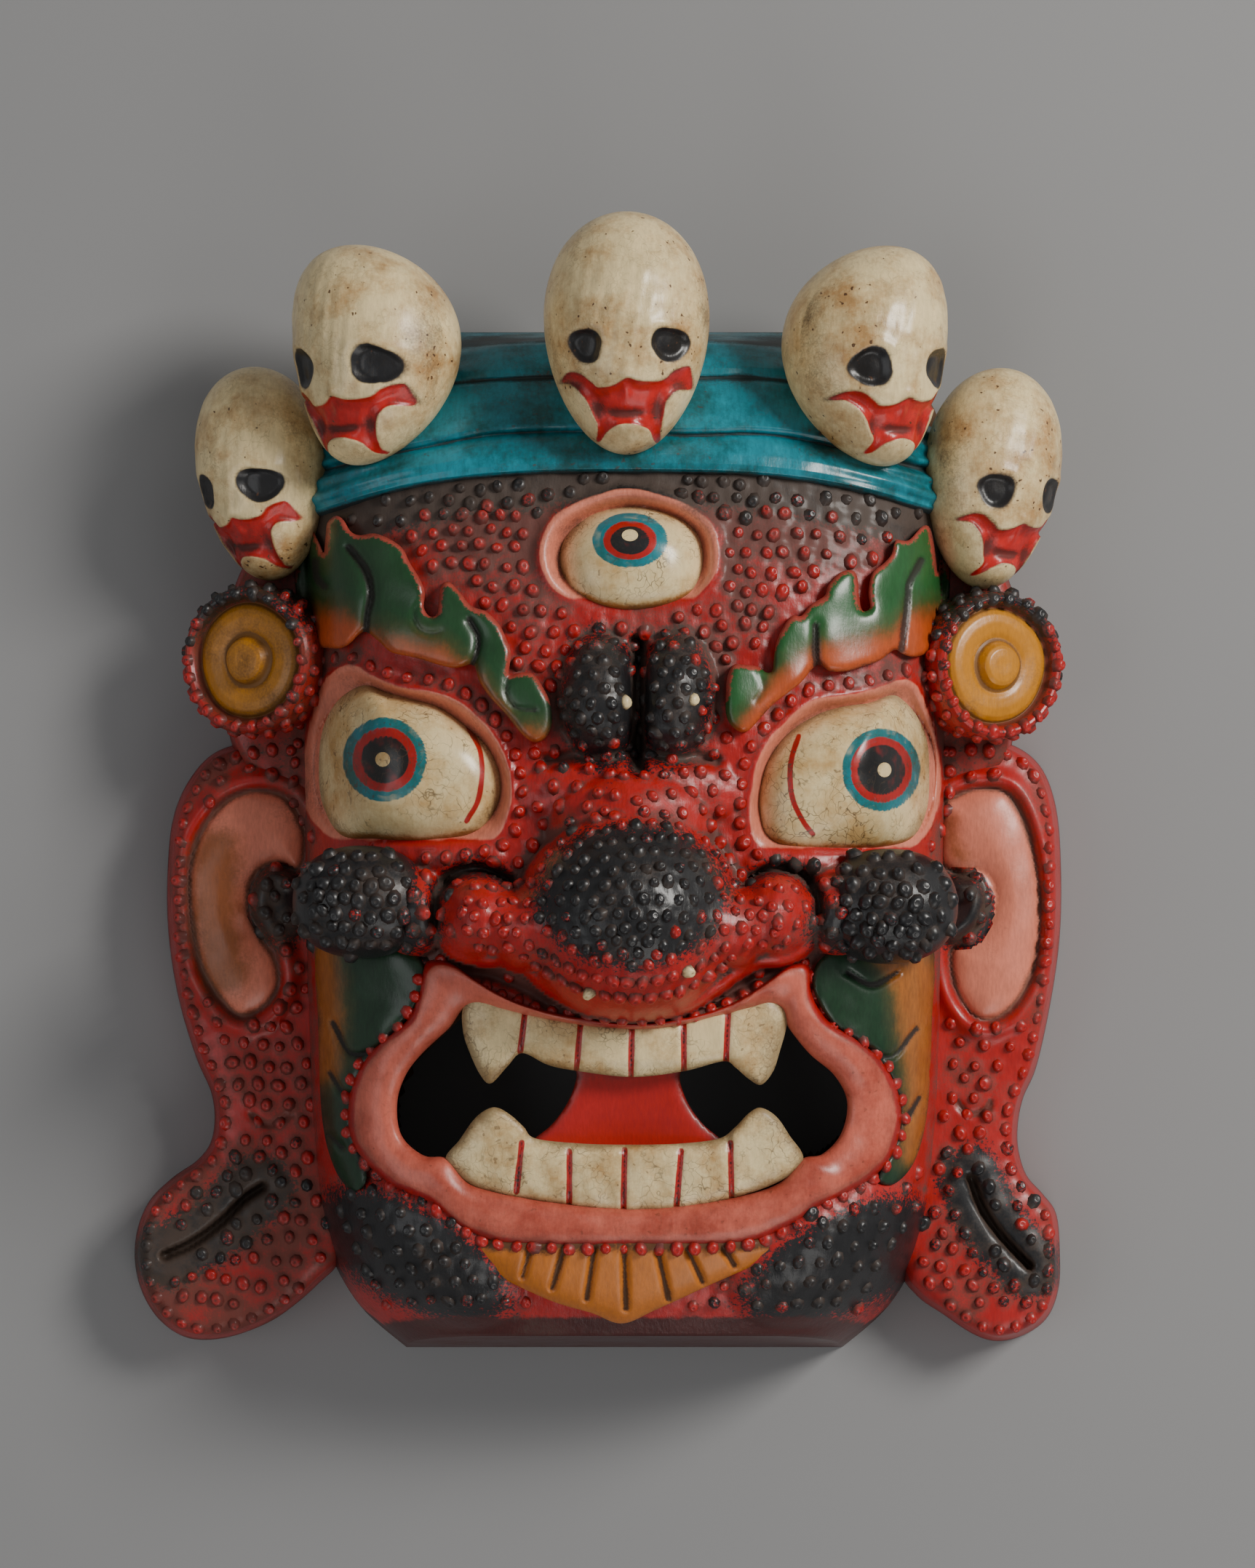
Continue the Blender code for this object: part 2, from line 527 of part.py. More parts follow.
def eye_solids(name):
    """An eye: the ball, and the cutter for the socket, whose sides slope in from the lid to the ball."""
    ball = closed_curve(EYE_BALLS[name], OUTLINE_FACETS["eye"])
    lid = closed_curve(EYE_LIDS[name], OUTLINE_FACETS["eye"])
    deep = face_height(*ball.T) - socket_depth
    socket = loft(f"socket_{name}", [
        with_height(ball, deep), with_height(lid, face_height(*lid.T) + 1.5), with_height(grown(lid, 0.5), face_height(*lid.T) + 12),
    ])
    floor = lambda x, y: face_height(x, y) - socket_depth + 1.0
    eye = dome(f"eye_{name}", grown(ball, -0.6), deep - 7, EYE_BULGE[name], floor, EYE_RINGS)
    return eye, socket


def hollow():
    """The hollow: a vault that keeps the front wall under the face and the rim around the back."""
    half_width = smooth_table(FACE_SECTIONS, np.array([0.0]))[0][0] - rear_rim
    turn = np.linspace(0, 2 * math.pi, 29)[:-1]
    plan = np.column_stack([
        FACE_MIDDLE + half_width * np.sign(np.cos(turn)) * np.abs(np.cos(turn)) ** (2 / HOLLOW_PLAN_POWER),
        HOLLOW_MIDDLE + HOLLOW_HALF_HEIGHT * np.sign(np.sin(turn)) * np.abs(np.sin(turn)) ** (2 / HOLLOW_PLAN_POWER),
    ])
    middle = np.array([FACE_MIDDLE, HOLLOW_MIDDLE])
    rings = [with_height(grown(plan, 0.5), -6.0)]
    for share in (1.0, 0.98, 0.9, 0.72, 0.4):
        ring = middle + (plan - middle) * share
        vault = (1 - share**HOLLOW_VAULT_POWER) ** (1 / HOLLOW_VAULT_POWER)
        rings.append(with_height(ring, (face_height(*ring.T) - turban_relief(*ring.T) - front_wall) * vault))
    return loft("hollow", rings)


def mouth_cutter():
    """The opening of the mouth, wider at the front so that the lips slope into it."""
    opening = closed_curve(MOUTH, OUTLINE_FACETS["lips"])
    lips = face_height(*opening.T) + lip_relief
    return loft("mouth_opening", [
        with_height(opening, 12.0), with_height(opening, lips - 9), with_height(grown(opening, 3), lips + 1),
        with_height(grown(opening, 6), lips + 16),
    ])


def combine(target, tools, operation):
    """Joins the tools to the target, or cuts them out of it, and removes them."""
    for tool in tools:
        step = target.modifiers.new(tool.name, "BOOLEAN")
        step.object = tool
        step.operation = operation
        step.solver = "EXACT"
        graph = bpy.context.evaluated_depsgraph_get()
        made = bpy.data.meshes.new_from_object(target.evaluated_get(graph))
        target.modifiers.clear()
        target.data = made
        bpy.data.objects.remove(tool)


def wood():
    """Painted wood, mostly red."""
    material = bpy.data.materials.new("painted_wood")
    material.use_nodes = True
    shader = material.node_tree.nodes["Principled BSDF"]
    shader.inputs["Base Color"].default_value = WOOD_COLOUR
    shader.inputs["Roughness"].default_value = WOOD_ROUGHNESS
    shader.inputs["Metallic"].default_value = 0.0
    return material


def mask():
    """The mask: forms joined to the block, then the sockets, the hollow and the mouth cut, then the teeth set in."""
    body = face_block()
    joined, cut = [], []
    for side, outline in BROWS.items():
        leaf = closed_curve(outline, OUTLINE_FACETS["brow"])
        joined.append(plate(f"brow_{side}", leaf, 25.0, lambda x, y: face_height(x, y) + brow_relief, 1.0, 14.0))
    for side, outline in SIDE_WEBS.items():
        web = closed_curve(outline, OUTLINE_FACETS["small"])
        joined.append(loft(f"web_{side}", [with_height(grown(web, 1.5), 0.0), with_height(web, SIDE_WEB_HEIGHT)]))
    for name, place in SKULLS.items():
        head, cutters = skull_solids(name, place)
        joined.append(head)
        cut += cutters
    for side in EAR_OUTLINES:
        solids, slits = ear_solids(side)
        joined += solids
        cut += slits
    joined += [drum(f"drum_{side}", place) for side, place in EAR_DRUMS.items()]
    joined += [lump(*row) for row in LUMPS]
    lips = closed_curve(LIPS, OUTLINE_FACETS["lips"])
    joined.append(plate("lips", lips, 30.0, lambda x, y: face_height(x, y) + lip_relief, 2.0, 16.0))
    beard = closed_curve(BEARD, OUTLINE_FACETS["small"])
    joined.append(plate("beard", beard, 30.0, lambda x, y: face_height(x, y) + BEARD_RELIEF, 1.5, 18.0))
    for side, outline in LEAF_STRIPS.items():
        strip = closed_curve(outline, OUTLINE_FACETS["small"])
        joined.append(plate(f"leaf_{side}", strip, 20.0, lambda x, y: face_height(x, y) + LEAF_RELIEF, 1.0, 20.0))
    eyes = []
    for name in EYE_BALLS:
        eye, socket = eye_solids(name)
        eyes.append(eye)
        cut.append(socket)
    combine(body, joined, "UNION")
    combine(body, cut + [mouth_cutter()], "DIFFERENCE")
    combine(body, eyes, "UNION")
    combine(body, [hollow()], "DIFFERENCE")
    rows = []
    for name, points in (("upper_teeth", UPPER_TEETH), ("lower_teeth", LOWER_TEETH)):
        outline = closed_curve(points, OUTLINE_FACETS["teeth"])
        front = lambda x, y: face_height(x, y) + 2.0
        foot = front(*outline.T) - tooth_depth
        rows.append(plate(name, outline, foot, front, 1.6))
    tongue = closed_curve(TONGUE, OUTLINE_FACETS["small"])
    behind = lambda x, y: face_height(x, y) - 7.0
    rows.append(plate("tongue", tongue, behind(*tongue.T) - tongue_depth, behind, 1.5))
    combine(body, rows, "UNION")
    body.name = "mask"
    body.data.name = "mask"
    body.data.materials.clear()
    body.data.materials.append(wood())
    body.data.shade_smooth()
    body.data.set_sharp_from_angle(angle=math.radians(38))


for old in list(bpy.data.objects):
    bpy.data.objects.remove(old)
mask()
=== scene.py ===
"""The looks of a carved and painted guardian mask: its carving in full, its paint, dust and varnish, and a stage."""

import math

import bpy
import numpy as np
from bpy.props import FloatProperty, FloatVectorProperty, PointerProperty
from mathutils import Matrix, Vector, geometry
from mathutils.bvhtree import BVHTree


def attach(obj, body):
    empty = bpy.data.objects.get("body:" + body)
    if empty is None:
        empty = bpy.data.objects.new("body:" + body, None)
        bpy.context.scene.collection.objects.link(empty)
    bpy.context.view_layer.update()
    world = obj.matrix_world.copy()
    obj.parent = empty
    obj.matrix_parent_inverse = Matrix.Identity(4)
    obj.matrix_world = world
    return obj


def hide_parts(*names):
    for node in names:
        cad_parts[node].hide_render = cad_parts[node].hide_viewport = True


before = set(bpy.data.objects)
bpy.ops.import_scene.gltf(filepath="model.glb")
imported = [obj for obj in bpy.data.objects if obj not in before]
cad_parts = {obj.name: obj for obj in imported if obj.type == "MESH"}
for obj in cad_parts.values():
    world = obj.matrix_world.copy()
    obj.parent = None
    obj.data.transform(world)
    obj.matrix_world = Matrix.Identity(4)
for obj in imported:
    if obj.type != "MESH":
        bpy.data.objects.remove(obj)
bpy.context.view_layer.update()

bl_info = {
    "name": "Carved guardian mask",
    "version": (1, 0, 0),
    "blender": (4, 5, 0),
    "location": "3D View > Sidebar > Mask",
    "description": "Builds a carved, painted and varnished wooden mask piece by piece",
    "category": "Add Mesh",
}

# The drawing, as in the solid: a carver's unit is a millimetre on a mask 365 mm tall, and outlines are those of
# the front view from VIEW_DISTANCE.
UNIT = 0.001
VIEW_DISTANCE = 1450.0
PICTURE_PLANE = 50.0
BOX_MIDDLE = np.array([-9.7, -2.85])
PICTURE_HEIGHT = 499.9
LENS_SIDE = 36.0
# Distances are measured up to FAR, for BATCH points at a time
FAR = 30.0
BATCH = 20000

FACE_MIDDLE = -1.0
# The block is an arch over the midline FACE_MIDDLE. Its sections: height on the mask, half width, crown height
FACE_SECTIONS = [
    (141.0, 54.0, 42.0), (134.0, 80.0, 50.0), (124.0, 94.0, 57.0), (110.0, 100.0, 64.0), (96.0, 101.5, 70.0),
    (60.0, 101.5, 77.0), (10.0, 101.5, 82.0), (-55.0, 100.5, 82.0), (-100.0, 99.0, 80.0), (-130.0, 96.5, 76.0),
    (-150.0, 91.0, 71.0), (-165.0, 82.0, 65.0), (-176.0, 68.0, 57.0),
]
# How far, and how widely, the corners between those sections are eased
EASED, EASED_WIDTH = 12, 4.5
CHIN, CROWN = -176.0, 141.0
# Rows of points down the chin, and where its maroon underside begins
CHIN_ROWS, UNDERSIDE = 21, -170.0
ARCH_POWER = 3.4
DRAFT, DRAFT_TOP = 0.02, 50.0
TURBAN_EDGE, TURBAN_SAG, TURBAN_SAG_POWER = 100.0, 15.0, 3.0
TURBAN_HALF, TURBAN_POWER = 100.0, 2.7
# Over the turban, from its lower edge: height on the mask, height over the block
TURBAN_FOLDS = [
    (-1.2, -1.0), (-0.5, 1.6), (0.4, 3.8), (2.5, 5.2), (5.5, 5.6), (9.0, 4.8), (11.2, 3.2), (12.0, 1.9), (12.8, 3.6),
    (14.2, 5.0), (18.0, 4.8), (24.0, 4.0), (28.6, 2.9), (30.0, 1.5), (31.0, 3.0), (33.0, 4.2), (37.0, 3.9), (40.0, 3.0),
    (41.0, 1.2),
]
CROWN_FOOT = 144.0

# Rounded forms of the face: middle, half sizes, height over the block, how full, lean
FORMS = [
    ((0.5, -42.5), (37.0, 34.0), 42.0, 0.55, 0.0),
    ((1.0, -15.0), (27.0, 20.0), 19.0, 0.8, 0.0),
    ((1.0, -3.0), (36.0, 15.0), 8.0, 0.9, 0.0),
    ((-47.5, -42.5), (14.5, 14.0), 26.0, 0.5, 12.0),
    ((47.0, -42.0), (14.5, 14.0), 26.0, 0.5, -12.0),
    ((-8.6, 27.5), (13.6, 21.0), 15.5, 0.8, 3.0),
    ((15.2, 28.0), (13.2, 21.0), 15.5, 0.8, -3.0),
    ((-69.0, -41.0), (13.0, 14.5), 19.0, 0.75, 0.0),
    ((67.5, -41.0), (13.0, 14.5), 19.0, 0.75, 0.0),
    ((-33.0, -46.0), (14.0, 15.0), 27.0, 0.6, 0.0),
    ((33.0, -46.0), (14.0, 15.0), 27.0, 0.6, 0.0),
    ((-62.0, -24.0), (24.0, 8.0), 3.0, 0.8, 0.0),
    ((60.0, -26.0), (24.0, 8.0), 3.0, 0.8, 0.0),
]
# The corners between forms are filled over MELT_WIDTH; forms no higher than FAINT_FORM are only added
MELT_WIDTH, FAINT_FORM = 12.0, 5.0
JAWS = [((-67.0, -150.0), (37.0, 20.0), 9.0, 0.8, -25.0), ((67.0, -150.0), (37.0, 20.0), 9.0, 0.8, 23.0)]
CHEEKS = [("left", (-84.6, -37.6, 73.0), (22.2, 18.0, 23.5)), ("right", (83.2, -39.0, 73.0), (22.2, 18.4, 23.5))]
CHEEK_FULLNESS = 0.8
NOSTRIL_RIM = [
    (-60, -47), (-55, -53), (-47, -55.4), (-39, -55.8), (-32, -58.6), (-24, -65), (-13, -71), (1, -73.2), (15, -71.4),
    (26, -66.2), (34, -60.4), (41, -56.4), (49, -55.4), (56, -52), (60, -46),
]
RIM_WIDTH, RIM_HEIGHT, RIM_MELT = 3.2, 10.0, 1.5
BULB_FOOT = [(-33, -55), (-25, -60), (-14, -65.6), (1, -68.2), (15, -66.2), (25, -61.4), (33, -55.4)]
# Small losses where pale ground shows on the tips of studs
CHIPS = [(19.5, -58.0), (-9.5, -66.8), (19.3, 27.0), (-2.4, 26.5)]
# Cuts beside the nose and on the brow: path, width, depth, painted black or not
CREVICES = [
    ([(-61.5, -44), (-61, -35), (-56, -29), (-50, -27), (-44, -27.6), (-38, -31)], 1.9, 6.5, True),
    ([(61, -43), (60.5, -35), (56, -28.6), (49, -26.6), (43, -27.6), (38, -31)], 1.5, 5.5, True),
    ([(-52, -60), (-43, -61.5), (-34, -65), (-26, -70)], 2.0, 2.4, False),
    ([(50, -60), (43, -61.5), (35, -65), (27, -70)], 1.8, 2.2, False),
    ([(3.3, 6), (3.3, 26), (3.4, 45)], 2.6, 7.5, True),
    ([(-26, 7.5), (-10, 8.5), (3, 9.5), (16, 8.5), (28, 7.5)], 2.6, 2.6, False),
]
# Where black paint was laid on the red, besides the forehead: middle, half sizes, lean
FOREHEAD_BLACK = 11.0
BLACKS = [
    ((1.5, -35.5), (31.0, 23.0), 0.0),
    ((-8.5, 27.0), (13.5, 22.5), 3.0),
    ((15.0, 27.0), (12.5, 22.5), -3.0),
    ((-72.0, -44.0), (13.0, 9.0), -20.0),
    ((70.0, -44.0), (13.0, 9.0), 20.0),
    ((-69.0, -150.5), (36.0, 15.5), -30.0),
    ((69.0, -152.5), (36.0, 15.5), 27.0),
]

EYES = {
    "left": {
        "ball": [
            (-99.4, 1), (-99, 12), (-96.5, 20), (-91.5, 27.5), (-84, 31.6), (-77, 29.4), (-68, 27), (-60, 24.5),
            (-51, 18), (-44, 11), (-40.4, 2), (-41, -6), (-46, -13.5), (-54, -17), (-66, -18.4), (-80, -17.6),
            (-91, -16.5), (-97, -8),
        ],
        "lid": [
            (-103.4, 1), (-101.6, 14), (-99.4, 26), (-95.5, 34.5), (-88, 38.2), (-81, 34.6), (-72, 31), (-62, 29.6),
            (-52, 25.4), (-43, 16.5), (-37.6, 5), (-37, -6), (-41, -16.5), (-52, -20), (-66, -20.6), (-80, -19.8),
            (-93, -18.4), (-101, -10),
        ],
        "sill": (-21.0, -4.0), "ridge": 1.8, "bulge": 9.5, "iris": (-77.4, 7.8), "rings": (13.5, 10.4, 7.6, 2.35),
        "squash": 1.0, "glint": (-0.6, 0.0),
        "vein": [(-50.7, 18.2), (-47, 10.5), (-46.4, 2.9), (-47.7, -5.4), (-51.3, -11.8)],
    },
    "right": {
        "ball": [
            (97.5, 4), (96.2, 14), (92.5, 21.5), (88, 26.6), (84, 28.4), (77, 26), (68, 24.6), (60, 22), (51.5, 16.5),
            (45, 8), (42.2, -1), (42, -9), (45, -17), (54, -20.6), (68, -20.8), (82, -20), (91, -17), (96, -8),
        ],
        "lid": [
            (99.4, 4), (97.8, 16), (95, 26), (92, 31.8), (87, 33.4), (78, 30.4), (68, 28.4), (58, 26.6), (47.5, 17.5),
            (41.4, 8), (39.4, -1), (38.6, -9), (41, -19), (53, -22.8), (68, -23), (82, -22), (93, -19), (98.6, -8),
        ],
        "sill": (-23.5, -6.0), "ridge": 1.8, "bulge": 9.5, "iris": (80.9, 4.5), "rings": (12.5, 9.9, 7.6, 2.2),
        "squash": 0.94, "glint": (1.0, 0.0),
        "vein": [(54.6, 15.3), (52.5, 9), (51.8, 2.1), (52.9, -5.6), (56.4, -12.5), (59.1, -16)],
    },
    "third": {
        "ball": [
            (25.1, 70), (23.8, 78), (18.5, 84.2), (9, 88), (-1, 88.6), (-12, 86), (-20, 78.5), (-22, 70.5),
            (-19.5, 63.5), (-12, 58.4), (-2, 55.8), (9, 56.4), (18, 59.4), (23.4, 64),
        ],
        "lid": [
            (29.2, 72), (27.6, 82), (20, 88.6), (10, 92.6), (-1, 94.4), (-13, 91.2), (-24, 85), (-28.4, 74),
            (-24.5, 63), (-14, 57), (-3, 54), (10, 54.4), (20.5, 58.4), (27, 65),
        ],
        "sill": (56.0, 68.0), "ridge": 4.2, "bulge": 8.0, "iris": (0.8, 77.7), "rings": (12.1, 8.6, 6.2, 2.6),
        "squash": 1.38, "glint": (0.0, 1.6),
        "vein": [],
    },
}
SOCKET_DEPTH, SILL_DEPTH, BALL_FOOT = 7.0, 0.8, 9.0
LID_STEP = 1.2

BROWS = {
    "left": {
        "outline": [
            (-102.7, 85.5), (-106.3, 82.2), (-106.3, 68.6), (-105.1, 56.8), (-103, 46), (-94.7, 43.2), (-89.4, 44.1),
            (-84.1, 48.5), (-79.4, 45.6), (-75.2, 42), (-67.5, 40.2), (-58.7, 37.6), (-54.5, 37), (-49.2, 37.9),
            (-47.4, 33.1), (-43.9, 27.8), (-38.5, 21.9), (-33.8, 16), (-29.7, 13.3), (-26.1, 14.8), (-24.1, 19.5),
            (-24.7, 26), (-27.3, 31.4), (-30.3, 35.2), (-34.4, 35.5), (-37.4, 34.6), (-37.7, 36.7), (-37.1, 42),
            (-38.6, 46.2), (-40.9, 50.9), (-45.1, 55), (-49.8, 56.8), (-53.3, 61), (-56.9, 64.5), (-59.3, 63.3),
            (-60.1, 59.2), (-60.7, 54.4), (-62.8, 53.3), (-64.9, 56.2), (-64.6, 61), (-66.4, 65.7), (-69.3, 70.4),
            (-71.7, 75.1), (-75.8, 78.1), (-80.6, 79.9), (-85.3, 79.3), (-88.2, 80.5), (-90.6, 84.3), (-93, 85.5),
            (-95.6, 83.4), (-96.2, 79.3), (-96.8, 73.5), (-97.7, 75.6), (-99.2, 78.8), (-101.3, 83.1),
        ],
        "grooves": [
            ([(-88.8, 75.4), (-83.5, 68.6), (-81.7, 61), (-82.9, 53.9), (-83.4, 47.5)], 1.3, 2.6),
            ([(-50.4, 52.1), (-47.7, 47.3), (-48, 42), (-49.5, 38)], 1.2, 2.4),
            ([(-65.2, 59.2), (-68.4, 54.4), (-66.9, 49.7), (-62.8, 47.9), (-59.8, 48.5)], 0.6, 0.8),
            ([(-99.6, 71), (-99.2, 66), (-96.8, 63)], 1.8, 2.2),
            ([(-38.3, 33.7), (-38.6, 28.4), (-35.6, 24.3), (-29.7, 23.4)], 0.8, 1.2),
        ],
    },
    "right": {
        "outline": [
            (101.7, 82.2), (102.9, 77.2), (102.7, 62.1), (101.4, 52.1), (99.7, 46), (96.6, 42.5), (91.6, 40.5),
            (87.6, 41.5), (85.1, 42.8), (80.5, 39.5), (75, 37.5), (70, 36), (64.5, 36), (60.4, 38), (55.4, 32.5),
            (50.9, 28.9), (46.4, 25.4), (42.3, 20.9), (37.8, 16.6), (33.8, 17.9), (31.5, 21.9), (31.3, 27.9),
            (31.8, 34), (33.8, 38), (37.3, 38), (41.3, 37.5), (44.3, 35.5), (46.1, 36), (46.6, 39.5), (47.4, 45),
            (49.4, 49.6), (52.4, 53.6), (55.4, 53.6), (58.4, 57.1), (62.9, 60.1), (63.9, 63.1), (67.5, 67.2),
            (71.5, 68.2), (73.3, 65.7), (73.8, 60.1), (74.8, 55.3), (77.3, 56.1), (76.8, 61.1), (78, 67.2),
            (81.5, 70.2), (84.1, 73.2), (85.6, 77.7), (89.6, 77.7), (94.1, 82.2), (96.6, 81.2), (98.1, 73.7),
            (98.9, 67.2), (99.7, 73.7), (99.9, 79.7),
        ],
        "grooves": [
            ([(93.6, 71.2), (89.8, 64.1), (89.3, 59.6), (88.6, 52), (87.4, 43)], 1.3, 2.4),
            ([(59.9, 50.6), (59.9, 42), (60.4, 38)], 1.1, 2.2),
            ([(41.5, 36), (43.5, 31), (41, 26.5)], 0.6, 0.8),
        ],
    },
}
BROW_RELIEF = 7.0
# From the midline outwards: the brows' lower edge, and how far their orange reaches above it
BROW_FOOT = ([26, 34, 48, 60, 75, 90, 104], [13, 14, 31, 38, 40, 43, 44])
BROW_ORANGE = ([40, 58, 84, 90], [2.6, 4.8, 6.0, 11.0])

LIPS_OUTER = [
    (-64, -57.5), (-57, -57), (-50, -61.5), (-43, -66), (-33, -70.5), (-16, -74.5), (3, -76.4), (20, -74.4),
    (34, -69.6), (44, -63.4), (52, -58), (57.5, -58.5), (58.5, -67), (64, -76), (74, -82.5), (81.5, -89.5), (86, -98.5),
    (87, -108), (83.5, -119.5), (74, -127.8), (62, -134), (50, -141.5), (34, -146.6), (1, -147.2), (-35, -146.8),
    (-52, -142), (-62, -133.8), (-76, -127), (-86.5, -116), (-88.8, -105), (-86.4, -93), (-79, -83), (-70, -75.4),
    (-66.5, -67),
]
MOUTH = [
    (-50, -71), (-57, -78), (-66, -86.5), (-71, -93.5), (-73.4, -102), (-72, -112), (-65, -118.4), (-57, -119.4),
    (-50, -127), (-36, -131), (-12, -134.4), (10, -134.6), (34, -131.6), (48, -127.4), (55.5, -119.6), (62, -118),
    (68, -111.5), (70, -101.5), (66, -93), (58, -86), (51.5, -78), (47, -71), (30, -74), (10, -78), (-10, -77.6),
    (-32, -74),
]
# Places of the lips' outer edge, and of the opening, that lie across from each other
LIP_PAIRS = [
    ((-88.8, -105), (-73.4, -102)), ((-66, -60), (-53, -74)), ((-43, -66), (-32, -74)), ((3, -76.4), (0, -78)),
    ((34, -69.6), (30, -74)),
    ((58, -61), (49, -74)), ((87, -108), (70, -101.5)), ((62, -134), (52, -124)), ((1, -147.2), (0, -134.6)),
    ((-62, -133.8), (-54, -124)),
]
# Across the lips, from the outer edge to the opening: share of the way, height over the block
LIP_PROFILE = [
    (-0.05, -2.0), (-0.02, 0.6), (0.0, 3.0), (0.03, 4.6), (0.08, 5.6), (0.16, 6.2), (0.3, 6.4), (0.45, 6.1), (0.6, 5.4),
    (0.75, 4.2), (0.88, 2.6), (0.96, 0.8), (1.0, -1.4), (1.0, -5.0), (1.0, -12.0), (1.0, -20.0), (1.0, -27.0),
]

TEETH = {
    "upper": {
        "bite": -92.0,
        "outline": [
            (-52.6, -72), (-50, -67.6), (-44.6, -66.6), (-31.8, -71.8), (-15.3, -75.5), (1.2, -77.2), (17.8, -75),
            (31.8, -70), (39.4, -66.8), (46, -67.6), (50.6, -72.4), (50.6, -77.6), (48.6, -85), (46.4, -91.6),
            (42.6, -95.9), (38.6, -94), (34.4, -90.4), (30.5, -88.4), (17.8, -91.6), (1.2, -93.4), (-16.6, -91.4),
            (-25.5, -89.5), (-33.6, -85.8), (-38.4, -90.2), (-43.6, -95.5), (-47, -92.6), (-50.4, -85.4), (-52.4, -79),
        ],
        "grooves": [
            [(-32.5, -71.6), (-34.2, -85.4)], [(-14.9, -76), (-16.3, -91)], [(1.4, -77.6), (1.1, -93.2)],
            [(17.9, -75.6), (18, -91.6)], [(32.2, -70.4), (31.4, -88.4)],
        ],
    },
    "lower": {
        "bite": -114.0,
        "outline": [
            (-58, -120), (-53.5, -113.4), (-49, -107), (-45, -103.8), (-41.4, -103.2), (-36.9, -105.8), (-33, -109.4),
            (-29.3, -113), (-15, -114.6), (1, -115), (17, -114.6), (29.2, -113), (34.3, -109.4), (38.6, -105),
            (42.4, -103.2), (47.4, -106), (51.6, -112), (56, -119.6), (49, -126.4), (34.3, -131.8), (16.5, -135.6),
            (-1.3, -136.4), (-26.7, -133), (-40.7, -130.6), (-51, -127.4),
        ],
        "grooves": [
            [(-33.7, -114.4), (-35.4, -130)], [(-18.5, -117), (-18.6, -134)], [(-0.9, -116.6), (-1.3, -135.6)],
            [(17.1, -117), (15.6, -134.8)], [(32.8, -114.4), (33.2, -132)],
        ],
    },
}
TOOTH_RELIEF, TOOTH_DEPTH, SCORE_WIDTH = 2.4, 14.0, 0.95
# The biting edges are bevelled
BITE_WIDTH, BITE_SLOPE = 4.0, 0.35
TONGUE = [
    (-16.8, -84), (-16.2, -93), (-19.1, -101.5), (-24.2, -108.6), (-31, -114.6), (-30, -120), (-26, -121), (0, -122),
    (26, -121), (30, -120), (31, -114.6), (24.4, -108.8), (19.4, -102), (16.6, -94), (16.4, -84),
]
TONGUE_DEPTH = 12.0

BEARD = [
    (-51.5, -146), (-46.5, -153.4), (-39.3, -157.9), (-24, -164.9), (-11.3, -168.7), (-1.7, -172), (9.1, -167.6),
    (26.9, -159.4), (42.1, -152.4), (48, -146.6), (30, -144), (0, -143), (-30, -144),
]
BEARD_CUTS = [
    [(-31, -148), (-33.4, -157)], [(-20.2, -148), (-24, -160.6)], [(-10.6, -148), (-13, -164)],
    [(-1.1, -148), (-0.5, -167)], [(9.7, -149), (13, -164)], [(19.3, -148.6), (23.8, -158.6)],
    [(30.7, -148), (34, -153.4)],
]
BEARD_RELIEF, LEAF_RELIEF = 6.0, 4.4
LEAVES = {
    "left": {
        "outline": [
            (-98.6, -50), (-84, -50), (-68, -54), (-64.4, -62), (-68, -72), (-78, -82.4), (-85.6, -93), (-88.8, -105),
            (-86.5, -116), (-84, -120), (-83.4, -127), (-88, -129.5), (-93.6, -122), (-97.4, -106), (-98.6, -76),
        ],
        "veins": [
            [(-94, -76), (-88, -86), (-78, -84)], [(-95, -92), (-91, -98), (-88, -99)], [(-95, -112), (-91, -116)],
        ],
        "orange": [(-98, -55), (-96, -72), (-97, -90)], "orange_width": 4.5,
    },
    "right": {
        "outline": [
            (97, -50), (83, -50), (64, -54), (59, -63), (64.5, -75), (75, -83), (82, -90), (86.4, -99), (87, -109),
            (84, -118), (80, -126), (85, -127.5), (91.6, -120), (95.6, -104), (97, -76),
        ],
        "veins": [[(92, -78), (84, -87), (76, -84)], [(93, -100), (89, -107)], [(70, -60), (78, -64), (86, -60)]],
        "orange": [(84, -51), (91, -62), (94, -80), (96, -98), (94, -116)], "orange_width": 6.5,
    },
}

